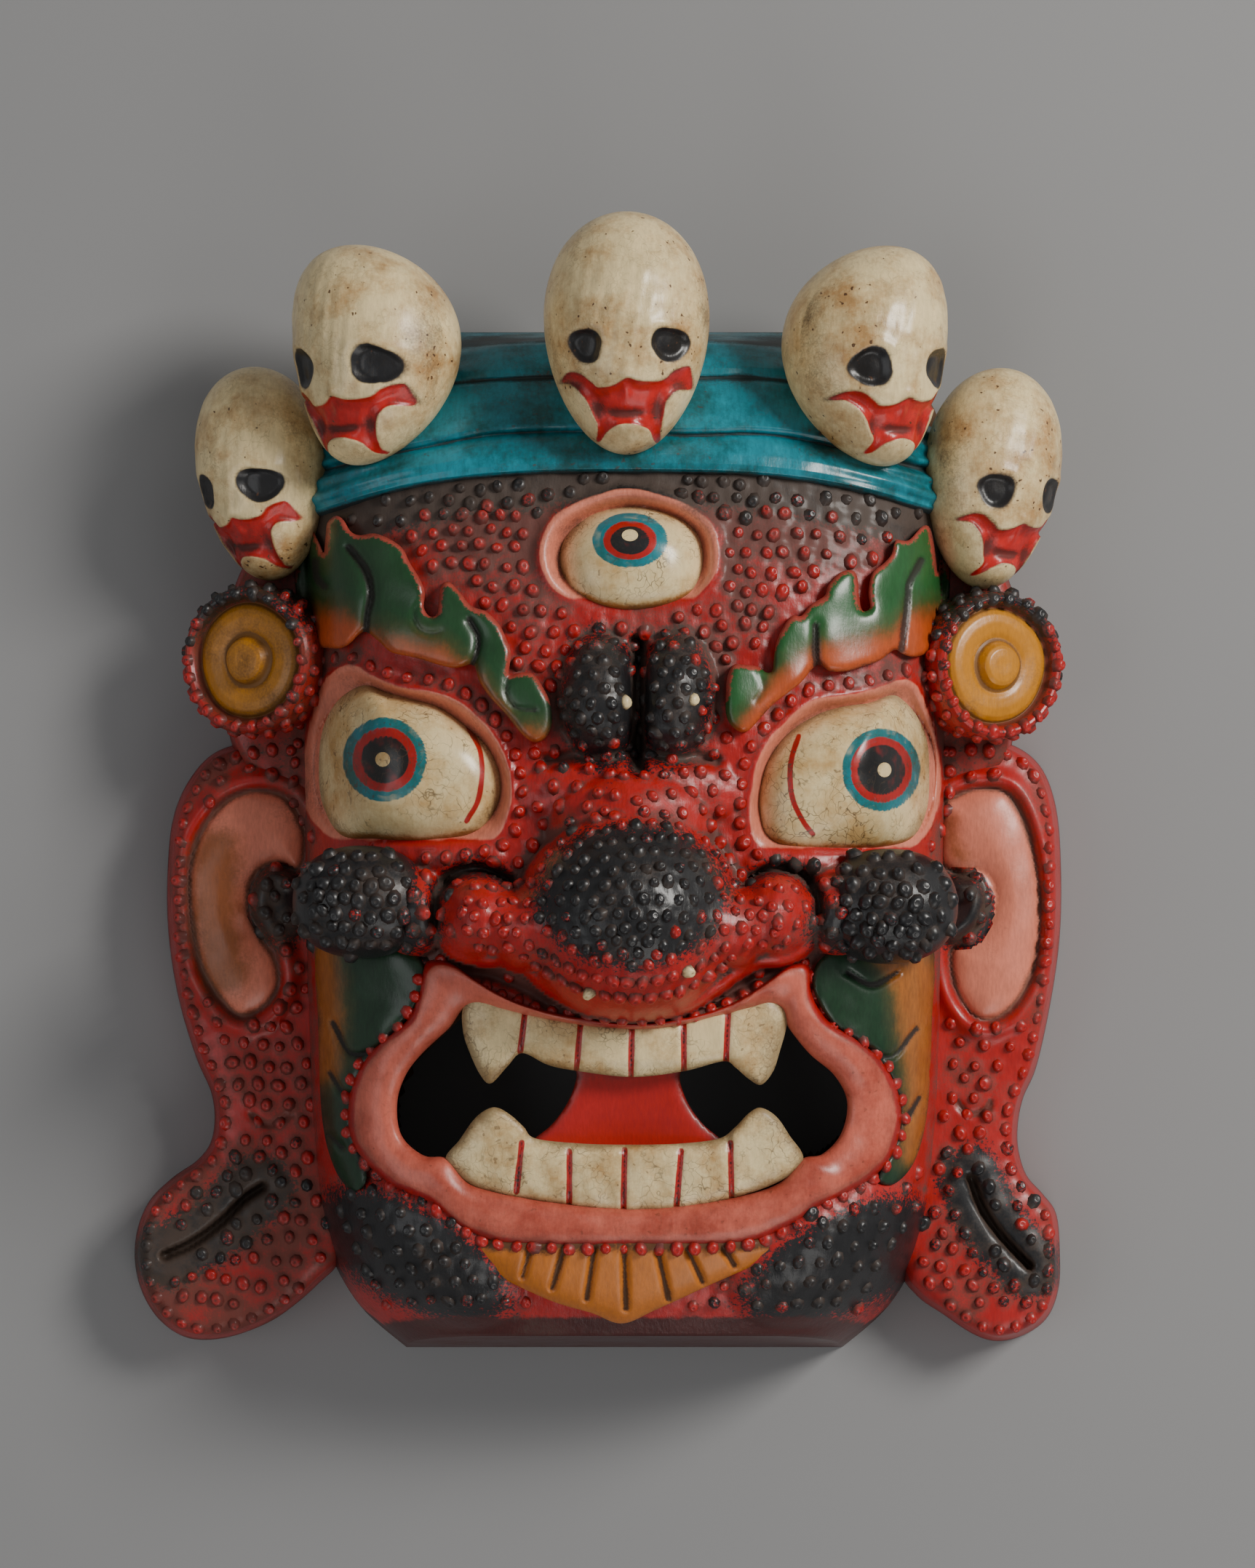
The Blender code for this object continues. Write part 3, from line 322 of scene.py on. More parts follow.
EARS = {
    "left": {
        "outline": [
            (-92, 9), (-108, 12.5), (-120, 11.5), (-130.9, 8), (-138.4, -0.5), (-143, -12), (-144.6, -28),
            (-144.6, -43), (-143, -58), (-140, -72.4), (-135.4, -87), (-130.8, -97.7), (-129.6, -107), (-131.2, -115.4),
            (-136, -121.6), (-143.7, -127), (-150.6, -133.9), (-154.2, -142.3), (-155, -151.6), (-153, -160.8),
            (-148.3, -168.8), (-141.4, -174), (-133.7, -175.2), (-123.7, -173.3), (-112.1, -168), (-100, -158),
            (-92, -148), (-85, -120), (-85, -50),
        ],
        "oval": [
            (-128, -5.4), (-118, -2), (-108, -5), (-103, -15), (-104.5, -27), (-113.4, -25.6), (-119, -30.5),
            (-120.7, -39.2), (-117.3, -48), (-112.4, -55), (-111.4, -64.6), (-116.3, -71.4), (-124.1, -74),
            (-132.9, -64.6), (-137.3, -53.9), (-139.4, -40.2), (-139.4, -26.5), (-135.8, -14.8),
        ],
        "comma": ((-111.0, -38.5), (9.0, 12.5), 12.0),
        "slit": [(-147.5, -150.4), (-138.3, -146.2), (-129, -139.3), (-122.1, -132.3), (-116.4, -128.5)],
        "stain": [(-131, -22), (-131.5, -44), (-128, -60)], "stain_width": 7.5,
        "crease": [(-119.8, -105.4), (-115.2, -108.5), (-110.6, -107.7), (-107.5, -105.4)],
    },
    "right": {
        "outline": [
            (88, 8), (104, 12), (114, 12.5), (124, 9.6), (131, 2.8), (135, -10), (136.2, -28.5), (135.8, -48),
            (133.2, -67.5), (128.6, -88.9), (124.2, -99.5), (122.4, -108.7), (122.7, -117.3), (125.5, -125.8),
            (131, -132.2), (134.8, -137.9), (135.8, -149.2), (135.5, -159.9), (132.4, -168.6), (126, -173.6),
            (118, -175.6), (110.9, -173.5), (101.7, -167.4), (93.2, -161.3), (88, -152), (82, -120), (82, -50),
        ],
        "oval": [
            (100.5, -7), (104, -4), (112, -1.5), (121, -3), (127, -13), (130.6, -29), (131.4, -42), (130, -57),
            (124.5, -69), (117, -75), (110, -73.5), (104.5, -65), (103, -54), (106, -50), (112, -45), (114.8, -37),
            (112, -30), (106, -29), (100, -24),
        ],
        "comma": ((107.0, -39.5), (9.0, 12.5), -25.0),
        "slit": [(109.5, -125.8), (113, -135), (118.7, -143.5), (128, -153.5)],
        "stain": [(103, -12), (104, -20), (107, -24)], "stain_width": 1.5,
        "crease": [(104.5, -100.9), (108.8, -105.2), (114.5, -103.8), (115.5, -101.6)],
    },
}
EAR_THICKNESS = 24.0
# Ear drums: middle, height, turn to the side; then radius and height along their profile
DRUMS = {"left": ((-121.0, 39.5), 42.0, -32.0), "right": ((118.0, 37.8), 42.0, 32.0)}
DRUM_PROFILE = [
    (0.0, 3.6), (3.0, 3.7), (5.2, 3.5), (6.4, 2.8), (7.1, 1.4), (7.8, 0.1), (8.8, -0.3), (10.4, 0.3), (13.8, 0.6),
    (16.2, 0.2), (17.6, -0.7), (18.4, -1.6), (19.1, -0.8), (19.8, 1.0), (20.7, 2.3), (21.6, 2.6), (22.5, 2.0),
    (23.3, 0.6), (23.8, -1.6), (23.8, -5.0), (23.0, -14.0), (21.4, -24.0), (0.0, -24.0),
]
DISC_RADIUS = 18.5
# Rings of studs on an ear drum: radius, height, offset of the first, lean of the studs outwards
DRUM_STUDS = [(21.4, 2.2, 0.0, 0.1), (23.6, -1.8, 0.15, 1.2), (23.4, -8.0, 0.0, 1.5)]
DRUM_STUD_COUNT = 22
# Stands for the place in the front view of a stud on a drum
DRUM_MARK = 500
# The plain wood behind drums and outer skulls
WEBS = {
    "left": [(-92, 86), (-112, 82), (-124, 62), (-128, 40), (-126, 18), (-118, 4), (-92, 0)],
    "right": [(90, 86), (110, 82), (121, 62), (125, 40), (122, 18), (116, 4), (90, 0)],
}
WEB_HEIGHT = 26.0

# Skulls: middle, height of the centre, half sizes, turn, lean, bow of crown and chin to the side
SKULLS = {
    "middle": ((-0.3, 143.8), 72.0, (26.2, 38.8, 29.0), 0.0, 0.0, 0.0),
    "left": ((-79.6, 137.0), 60.0, (26.4, 35.2, 27.0), -36.0, 2.0, -7.0),
    "right": ((75.2, 136.7), 60.0, (25.6, 35.2, 27.0), 36.0, -2.0, 7.0),
    "outer_left": ((-115.8, 99.0), 33.0, (20.5, 34.3, 22.0), -38.0, 7.0, -1.0),
    "outer_right": ((115.8, 97.5), 33.0, (21.5, 35.4, 22.0), 38.0, -7.0, 1.0),
}
SKULL_TAPER, SKULL_FAR = 0.13, 8.0
# In shares of a skull's half sizes: the sockets' middles, with their half sizes in units, and the mouth
SKULL_SOCKETS = [((-0.50, -0.10), (5.6, 5.2)), ((0.53, -0.09), (5.8, 6.0))]
SOCKET_SIZE = {"middle": 1.0, "left": 1.16, "right": 1.14, "outer_left": 1.0, "outer_right": 1.0}
SKULL_MOUTH = [
    (-0.81, -0.41), (-0.70, -0.33), (-0.56, -0.34), (-0.42, -0.41), (-0.34, -0.45), (-0.16, -0.43), (0.0, -0.37),
    (0.12, -0.39), (0.28, -0.40), (0.46, -0.38), (0.56, -0.32), (0.70, -0.28), (0.79, -0.29), (0.80, -0.46),
    (0.62, -0.47), (0.50, -0.55), (0.44, -0.72), (0.40, -0.89), (0.34, -0.89), (0.27, -0.80), (0.11, -0.75),
    (-0.08, -0.75), (-0.22, -0.80), (-0.32, -0.89), (-0.37, -0.88), (-0.35, -0.77), (-0.40, -0.69), (-0.52, -0.53),
    (-0.68, -0.42),
]

HOLLOW_MIDDLE, HOLLOW_HALF_HEIGHT, HOLLOW_PLAN_POWER, HOLLOW_VAULT_POWER = -24.0, 127.0, 2.8, 3.0
FRONT_WALL, REAR_RIM = 19.0, 17.0
# Plates: rows of points down the wall, spacing of the base, and the depth that their outsides count as
PLATE_LEVELS, BASE_SPACING, PLATE_OUTSIDE = 5, 6.0, 8.0

# A stud from its foot to its dented tip: share of its radius, share of its height
STUD_PROFILE = [(1.16, -0.35), (0.92, 0.32), (0.58, 0.86), (0.28, 0.9), (0.0, 0.66)]
STUD_SIDES = 8
STUD_HOSTS = (
    "face", "left_cheek", "right_cheek", "left_ear", "right_ear", "left_web", "right_web", "lips", "beard",
    "left_leaf", "right_leaf",
)

# Paint-chart colours that the paints share
DUST, CRACK, SPECK = "6B5A4C", "4A3A2A", "4A2E1C"

# The stage, in metres: name, place, width, share of the power and tint of each lamp
FLOOR_SIZE, FLOOR_GAP = 3.0, 0.0002
LAMP_AIM = (0.0, 0.0, 0.05)
LAMPS = (
    ("key", (1.2, 0.72, 1.12), 0.55, 1.04, (1.0, 0.97, 0.92)),
    ("fill", (-1.2, -0.3, 1.3), 1.1, 0.15, (0.96, 0.98, 1.0)),
    ("rim", (0.5, -1.4, 1.0), 0.9, 0.2, (1.0, 0.98, 0.95)),
)


def linear(code):
    """A paint-chart colour such as C8322E as linear red, green, blue and an alpha of 1."""
    values = [int(code[k:k + 2], 16) / 255 for k in (0, 2, 4)]
    return tuple(v / 12.92 if v <= 0.04045 else ((v + 0.055) / 1.055) ** 2.4 for v in values) + (1.0,)


# Lines and distances in the picture


def curve(points, spacing, closed=True):
    """A Catmull-Rom curve through the points, read at even steps of about the spacing along its length."""
    p = np.array(points, float)
    if not closed:
        p = np.vstack([2 * p[0] - p[1], p, 2 * p[-1] - p[-2]])
    before, after, second = np.roll(p, 1, 0), np.roll(p, -1, 0), np.roll(p, -2, 0)
    t = np.linspace(0, 1, 13)[:-1][:, None, None]
    fine = 0.5 * (
        2 * p + (after - before) * t + (2 * before - 5 * p + 4 * after - second) * t**2
        + (3 * p - before - 3 * after + second) * t**3
    )
    fine = fine.transpose(1, 0, 2)
    fine = fine.reshape(-1, 2) if closed else fine[1:-2].reshape(-1, 2)
    loop = np.vstack([fine, fine[:1] if closed else p[-2:-1]])
    along = np.concatenate([[0], np.cumsum(np.linalg.norm(np.diff(loop, axis=0), axis=1))])
    count = max(int(round(along[-1] / spacing)), 3)
    at = np.linspace(0, along[-1], count + 1)
    at = at[:-1] if closed else at
    return np.stack([np.interp(at, along, loop[:, k]) for k in range(2)], axis=1)


def pairs(x, y):
    """Places in the picture, from their two coordinates."""
    return np.stack([x, y], axis=-1)


def distance_to(points, path, closed=False, reach=FAR):
    """Distance of points to a path, the least over its pieces; points beyond the reach of its box get the reach."""
    flat = np.asarray(points, float).reshape(-1, 2)
    out = np.full(len(flat), reach)
    a = np.asarray(path, float)
    b = np.roll(a, -1, 0)
    if not closed:
        a, b = a[:-1], b[:-1]
    near = np.all((flat > a.min(0) - reach) & (flat < np.maximum(a, b).max(0) + reach), axis=1)
    chosen = np.nonzero(near)[0]
    step = b - a
    length2 = np.maximum((step**2).sum(1), 1e-9)
    for part in np.array_split(chosen, max(len(chosen) // BATCH, 1)):
        gap = flat[part][:, None] - a[None]
        share = np.clip((gap * step).sum(2) / length2, 0, 1)
        out[part] = np.minimum(np.linalg.norm(gap - share[..., None] * step, axis=2).min(1), reach)
    return out.reshape(np.asarray(points).shape[:-1])


def gap_to(points, line, spacing=1.0):
    """Distance of points to a drawn open line."""
    return distance_to(points, curve(line, spacing, False))


def within(points, outline):
    """Which points lie inside an outline: a line to the side crosses it an odd number of times."""
    flat = np.asarray(points, float).reshape(-1, 2)
    out = np.zeros(len(flat), bool)
    near = np.nonzero(np.all((flat > outline.min(0)) & (flat < outline.max(0)), axis=1))[0]
    a, b = outline, np.roll(outline, -1, 0)
    climb = np.where(b[:, 1] == a[:, 1], 1.0, b[:, 1] - a[:, 1])
    for part in np.array_split(near, max(len(near) // BATCH, 1)):
        x, y = flat[part][:, :1], flat[part][:, 1:]
        spans = (a[:, 1] > y) != (b[:, 1] > y)
        out[part] = (spans & (x < a[:, 0] + (y - a[:, 1]) * (b[:, 0] - a[:, 0]) / climb)).sum(1) % 2 == 1
    return out.reshape(np.asarray(points).shape[:-1])


def depth_in(points, outline, reach=FAR):
    """Signed distance to a closed outline, positive inside."""
    return distance_to(points, outline, True, reach) * np.where(within(points, outline), 1.0, -1.0)


def depth(points, drawing, spacing=1.0):
    """Signed distance to an outline as it is drawn, positive inside."""
    return depth_in(points, curve(drawing, spacing))


def ease(value, low, high):
    """Smooth step of a value from low to high."""
    t = np.clip((value - low) / (high - low), 0, 1)
    return t * t * (3 - 2 * t)


def bell(value, width):
    """A bell curve, exp(-(value / width) squared)."""
    return np.exp(-((value / width) ** 2))


def spot(x, y, wide, tall):
    """A soft oval spot, exp(-(x / wide) squared - (y / tall) squared)."""
    return np.exp(-((x / wide) ** 2) - (y / tall) ** 2)


def signed(value, power):
    """The size of a value raised to a power, with the value's sign."""
    return np.sign(value) * np.abs(value) ** power


def leaning(x, y, middle, half, lean):
    """Places as shares of the half sizes of a leaning ellipse, from its middle."""
    a = math.radians(lean)
    u = ((x - middle[0]) * math.cos(a) + (y - middle[1]) * math.sin(a)) / half[0]
    v = (-(x - middle[0]) * math.sin(a) + (y - middle[1]) * math.cos(a)) / half[1]
    return u, v


def bump_over(x, y, form):
    """A rounded form: (1 - r squared) to a power that says how full it is, over a leaning ellipse."""
    middle, half, height, fullness, lean = form
    u, v = leaning(x, y, middle, half, lean)
    return height * np.clip(1 - u**2 - v**2, 0, 1) ** fullness


def melt(a, b, width):
    """The larger of two heights, with the corner between them filled over a width, less where either runs out."""
    width = np.clip(1.6 * np.minimum(a, b), 1e-6, width)
    h = np.clip(width - np.abs(a - b), 0, None) / width
    return np.maximum(a, b) + h * h * width / 4


def ripple(x, y, size, seed):
    """An uneven hand: a sum of a few long waves in odd directions, between about -1 and 1."""
    rng = np.random.default_rng(seed)
    total = 0
    for _ in range(5):
        angle, phase = rng.uniform(0, math.tau, 2)
        wave = math.tau / (size * rng.uniform(0.6, 1.6))
        total = total + np.sin((x * math.cos(angle) + y * math.sin(angle)) * wave + phase)
    return total / 3


# The carved surface


def section(y):
    """Half width and crown height of the block at a height on the mask, with its corners eased."""
    rows = np.array(sorted(FACE_SECTIONS))
    fine = np.arange(CHIN, CROWN + 0.5, 1.0)
    kernel = np.exp(-0.5 * (np.arange(-EASED, EASED + 1) / EASED_WIDTH) ** 2)
    kernel /= kernel.sum()
    out = []
    for k in (1, 2):
        line = np.interp(fine, rows[:, 0], rows[:, k])
        padded = np.concatenate([2 * line[0] - line[EASED:0:-1], line, 2 * line[-1] - line[-2:-EASED - 2:-1]])
        out.append(np.interp(y, fine, np.convolve(padded, kernel, "valid")))
    return out


def turban_edge(x):
    """Height on the mask of the turban's lower edge, which sags to the sides."""
    return TURBAN_EDGE - TURBAN_SAG * np.abs(x / TURBAN_HALF) ** TURBAN_SAG_POWER


def arched(share):
    """A superellipse of half width and height 1: its height over a share of the half width."""
    return (1 - share**ARCH_POWER) ** (1 / ARCH_POWER)


def arch(x, y):
    """Height of the bare block: the arch of each section, its crown times the superellipse at |x| / half width."""
    half, crown = section(y)
    return crown * arched(np.clip(np.abs(x - FACE_MIDDLE) / half, 0, 0.996))


def carving(x, y):
    """What the carving adds to the block's height: rounded forms melted together, the nostril rim, jaws, creases."""
    forms = np.zeros_like(x)
    for form in FORMS:
        bump = bump_over(x, y, form)
        forms = melt(forms, bump, MELT_WIDTH) if form[2] > FAINT_FORM else forms + bump
    xy = pairs(x, y)
    rim = RIM_HEIGHT * np.clip(1 - (gap_to(xy, NOSTRIL_RIM) / RIM_WIDTH) ** 2, 0, 1) ** 0.5
    forms = melt(forms, rim, RIM_MELT)
    for jaw in JAWS:
        forms = forms + bump_over(x, y, jaw)
    for path, width, deep, _ in CREVICES:
        forms = forms - deep * (1 - ease(gap_to(xy, path, 1.5), 0.0, width * 1.5))
    return forms


def sunk(eye, y):
    """How deep an eyeball's edge lies: full under the upper lid, nearly flush at the sill below."""
    return SILL_DEPTH + (SOCKET_DEPTH - SILL_DEPTH) * ease(y, *eye["sill"])


def sockets(x, y):
    """The eye sockets: a raised lid edge, then a slope from the lid's outline down to the ball's. Also the lid mask."""
    xy = pairs(x, y)
    height, lids = np.zeros_like(x), np.full(x.shape, -FAR)
    for eye in EYES.values():
        ridge = eye["ridge"]
        outer, inner = depth(xy, eye["lid"], LID_STEP), -depth(xy, eye["ball"], LID_STEP)
        share = np.where(outer > 0, outer / np.maximum(outer + np.maximum(inner, 0), 1e-3), 0)
        height += ridge * ease(y, *eye["sill"]) * bell(outer - ridge * 0.6, 1.2 + ridge * 0.5)
        height -= np.where(outer > 0, sunk(eye, y) * share**1.3, 0)
        lids = np.maximum(lids, np.minimum(outer, (y - eye["sill"][0] - 3.0) * 0.6))
    return height, lids


def blackness(x, y):
    """How far into a black area a point lies, negative outside. The forehead is black under the turban."""
    value = y - (turban_edge(x) - FOREHEAD_BLACK - 2.0 * np.abs(x / 60.0))
    for middle, half, lean in BLACKS:
        value = np.maximum(value, (1 - np.hypot(*leaning(x, y, middle, half, lean))) * min(half))
    for path, width, _, inked in CREVICES:
        if inked:
            value = np.maximum(value, width + 0.6 - gap_to(pairs(x, y), path, 1.5))
    return value


def snapped(x, y, outlines, reach):
    """Grid points near an outline moved onto it, so that an edge runs along the mesh."""
    for outline in outlines:
        fine = curve(outline, 0.4)
        xy = pairs(x, y)
        near = distance_to(xy, fine, True, 3.0) < reach
        nearest = fine[np.linalg.norm(xy[near][:, None] - fine[None], axis=2).argmin(1)]
        x[near], y[near] = nearest.T
    return x, y


# Making meshes


def placed(points):
    """Points of the drawing as metres in the mask's own frame: near ones are drawn in to the midline."""
    p = np.asarray(points, float).reshape(-1, 3)
    nearer = 1 - (p[:, 2:] - PICTURE_PLANE) / VIEW_DISTANCE
    return np.hstack([p[:, :2] * nearer - BOX_MIDDLE, p[:, 2:]]) * UNIT


def drawn(points):
    """The other way round: places on the mask as points of the drawing."""
    p = points / UNIT
    return np.hstack([(p[:, :2] + BOX_MIDDLE) / (1 - (p[:, 2:] - PICTURE_PLANE) / VIEW_DISTANCE), p[:, 2:]])


def mesh_piece(name, points, faces, layers, material, slot):
    """An object of the mask from points of the drawing, lists of faces and a value of each layer for every point."""
    mesh = bpy.data.meshes.new(name)
    counts = np.concatenate([np.full(len(f), f.shape[1]) for f in faces if len(f)])
    corners = np.concatenate([f.ravel() for f in faces if len(f)])
    mesh.vertices.add(len(points))
    mesh.vertices.foreach_set("co", placed(points).ravel())
    mesh.loops.add(len(corners))
    mesh.loops.foreach_set("vertex_index", corners.astype(np.int32))
    mesh.polygons.add(len(counts))
    mesh.polygons.foreach_set("loop_start", np.concatenate([[0], np.cumsum(counts)[:-1]]).astype(np.int32))
    mesh.polygons.foreach_set("loop_total", counts.astype(np.int32))
    mesh.update(calc_edges=True)
    mesh.validate()
    for layer, values in layers.items():
        mesh.attributes.new(layer, "FLOAT", "POINT").data.foreach_set("value", np.asarray(values, np.float32).ravel())
    mesh.shade_smooth()
    mesh.materials.append(bpy.data.materials[material])
    piece = bpy.data.objects.new(name, mesh)
    bpy.context.scene.collection.objects.link(piece)
    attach(piece, "root")
    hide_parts("mask")


def grid_faces(rows, columns, wrap=False, keep=None):
    """Quads over a grid of points, closed round in the columns if asked, less the cells that aren't kept."""
    across = columns if wrap else columns - 1
    i, j = np.meshgrid(np.arange(rows - 1), np.arange(across), indexing="ij")
    k = (j + 1) % columns
    quads = np.stack([i * columns + j, i * columns + k, (i + 1) * columns + k, (i + 1) * columns + j], axis=-1)
    return quads[keep if keep is not None else np.ones(i.shape, bool)].reshape(-1, 4)


def fan(ring, tip):
    """Triangles from a closed ring of points to a tip."""
    return np.stack([np.roll(ring, -1), ring, np.full(len(ring), tip)], axis=1)


def capped(points):
    """A body of closed rings, with its first and last ring drawn to their middles: its points and its faces."""
    rows, columns = points.shape[:2]
    flat, ring = points.reshape(-1, 3), np.arange(columns)
    tips = np.array([points[0].mean(0), points[-1].mean(0)])
    last = fan(ring + (rows - 1) * columns, len(flat) + 1)[:, ::-1]
    faces = [grid_faces(rows, columns, True), fan(ring, len(flat)), last]
    return np.vstack([flat, tips]), [f[:, ::-1] for f in faces]


def filled(outline, spacing):
    """An outline filled in plan: points on a grid within it, and triangles over those and the outline's own."""
    low, high = outline.min(0), outline.max(0)
    rows = np.arange(low[1], high[1] + spacing, spacing * 0.87)
    x, y = np.meshgrid(np.arange(low[0] - spacing, high[0] + spacing, spacing), rows)
    x = x + np.where(np.arange(len(rows)) % 2, spacing / 2, 0.0)[:, None]
    grid = np.stack([x.ravel(), y.ravel()], axis=1)
    points = np.vstack([outline, grid[depth_in(grid, outline, 3.0) > 0.55 * spacing]])
    edges = [(k, (k + 1) % len(outline)) for k in range(len(outline))]
    made = geometry.delaunay_2d_cdt([Vector(p) for p in points], edges, [], 1, 1e-6)
    source = np.array([origins[0] for origins in made[3]])
    return points, source[np.array(made[2])]


def turned_up(points, faces, sign):
    """Triangles in plan, turned to look up, or down for a sign of -1."""
    a, b, c = (points[faces[:, k], :2] for k in range(3))
    return np.where((sign * np.cross(b - a, c - a) > 0)[:, None], faces, faces[:, ::-1])


def is_leftwards(edge):
    """Whether an outline runs anticlockwise, by the sign of its area."""
    x, y = edge.T
    return np.sum(x * np.roll(y, -1) - np.roll(x, -1) * y) > 0


def plate_piece(name, outline, spacing, top, foot, layers, material, slot, draft=0.0):
    """A carved plate. Its top is a height over the filled outline, and its wall runs straight down to the foot."""
    edge = curve(outline, spacing)
    leftwards, count = is_leftwards(edge), len(edge)
    points, faces = filled(edge, spacing)
    inside = np.where(np.arange(len(points)) < count, 0.0, depth_in(points, edge))
    height = top(points[:, 0], points[:, 1], inside)
    share = np.linspace(0, 1, PLATE_LEVELS)[1:, None]
    along = np.roll(edge, -1, 0) - np.roll(edge, 1, 0)
    outward = np.column_stack([along[:, 1], -along[:, 0]]) * (1 if leftwards else -1)
    outward = outward / np.linalg.norm(along, axis=1, keepdims=True)
    heights = height[:count] * (1 - share) + foot(*edge.T) * share
    wall = np.concatenate([edge + outward * draft * share[..., None], heights[..., None]], axis=-1).reshape(-1, 3)
    lower = len(points) + np.arange((PLATE_LEVELS - 1) * count).reshape(-1, count)
    index = np.vstack([np.arange(count), lower])
    a, b = index[:-1], index[1:]
    walls = np.stack([a, np.roll(a, -1, 1), np.roll(b, -1, 1), b], axis=-1).reshape(-1, 4)
    walls = walls[:, ::-1] if leftwards else walls
    base, base_faces = filled(edge, BASE_SPACING)
    base_faces = turned_up(base, base_faces, -1)
    start = len(points) + len(wall)
    relinked = np.where(base_faces < count, index[-1][np.minimum(base_faces, count - 1)], base_faces - count + start)
    under = np.column_stack([base, foot(*base.T)])[count:]
    everything = np.vstack([np.column_stack([points, height]), wall, under])
    outside = -PLATE_OUTSIDE
    depths = np.concatenate([inside, np.repeat(share[:, 0] * outside, count), np.full(len(base) - count, outside)])
    values = {key: rule(everything[:, 0], everything[:, 1], depths) for key, rule in layers.items()}
    mesh_piece(name, everything, [turned_up(points, faces, 1), walls, relinked], values, material, slot)


# Paint


class Nodes:
    """A node tree as it is drawn up. Each method adds a node and gives back an output of it."""

    def __init__(self, tree):
        self.tree = tree

    def add(self, kind, inputs=None, **settings):
        """A node with its settings, whose inputs are each a plain value or another node's output."""
        node = self.tree.nodes.new(kind)
        for key, value in settings.items():
            setattr(node, key, value)
        for key, value in (inputs or {}).items():
            if isinstance(value, bpy.types.NodeSocket):
                self.tree.links.new(value, node.inputs[key])
            else:
                node.inputs[key].default_value = value
        return node

    def math(self, operation, *values):
        """A sum of two or three values."""
        return self.add("ShaderNodeMath", dict(enumerate(values)), operation=operation).outputs[0]

    def noise(self, where, scale, detail=2.0, roughness=0.5, output="Fac"):
        """Fractal noise."""
        inputs = {"Vector": where, "Scale": scale, "Detail": detail, "Roughness": roughness}
        return self.add("ShaderNodeTexNoise", inputs).outputs[output]

    def ramp(self, value, low, high, kind="LINEAR"):
        """How far a value has come from low to high, from 0 to 1."""
        inputs = {"Value": value, "From Min": low, "From Max": high}
        return self.add("ShaderNodeMapRange", inputs, interpolation_type=kind).outputs[0]

    def mix(self, share, a, b, how="MIX"):
        """Two colours mixed by a share."""
        return self.add("ShaderNodeMix", {0: share, 6: a, 7: b}, data_type="RGBA", blend_type=how).outputs[2]

    def layer(self, name):
        """The value of one of the mesh's layers."""
        return self.add("ShaderNodeAttribute", attribute_name=name).outputs["Fac"]

    def group(self, name, inputs):
        """The outputs of a shared group."""
        return self.add("ShaderNodeGroup", inputs, node_tree=bpy.data.node_groups[name]).outputs


def new_group(name, inputs, outputs):
    """A shared group: its nodes, its inputs by name with their defaults, its end node and Object coordinates."""
    tree = bpy.data.node_groups.new(name, "ShaderNodeTree")
    for key, value in inputs.items():
        kind = "NodeSocketColor" if isinstance(value, tuple) else "NodeSocketFloat"
        tree.interface.new_socket(name=key, in_out="INPUT", socket_type=kind).default_value = value
    for key in outputs:
        kind = "NodeSocketColor" if key == "Color" else "NodeSocketFloat"
        tree.interface.new_socket(name=key, in_out="OUTPUT", socket_type=kind)
    nodes = Nodes(tree)
    put, out = nodes.add("NodeGroupInput").outputs, nodes.add("NodeGroupOutput")
    return nodes, put, out.inputs, nodes.add("ShaderNodeTexCoord").outputs["Object"]


def make_hand_edge():
    """Hand edge: a mask from a distance in carver's units, with a wavering, soft or dry-brushed border."""
    inputs = {"Distance": 0.0, "Softness": 0.3, "Waver": 0.4, "Dry Brush": 0.0}
    nodes, put, out, where = new_group("hand edge", inputs, ["Mask"])
    slow, fast = nodes.noise(where, 180.0), nodes.noise(where, 900.0, 4.0, 0.7)
    waver = nodes.math("MULTIPLY", nodes.math("SUBTRACT", slow, 0.5), nodes.math("MULTIPLY", put["Waver"], 4.0))
    dry = nodes.math("MULTIPLY", nodes.math("SUBTRACT", fast, 0.5), nodes.math("MULTIPLY", put["Dry Brush"], 6.0))
    moved = nodes.math("ADD", put["Distance"], nodes.math("ADD", waver, dry))
    low = nodes.math("MULTIPLY", put["Softness"], -1.0)
    nodes.tree.links.new(nodes.ramp(moved, low, put["Softness"], "SMOOTHSTEP"), out["Mask"])


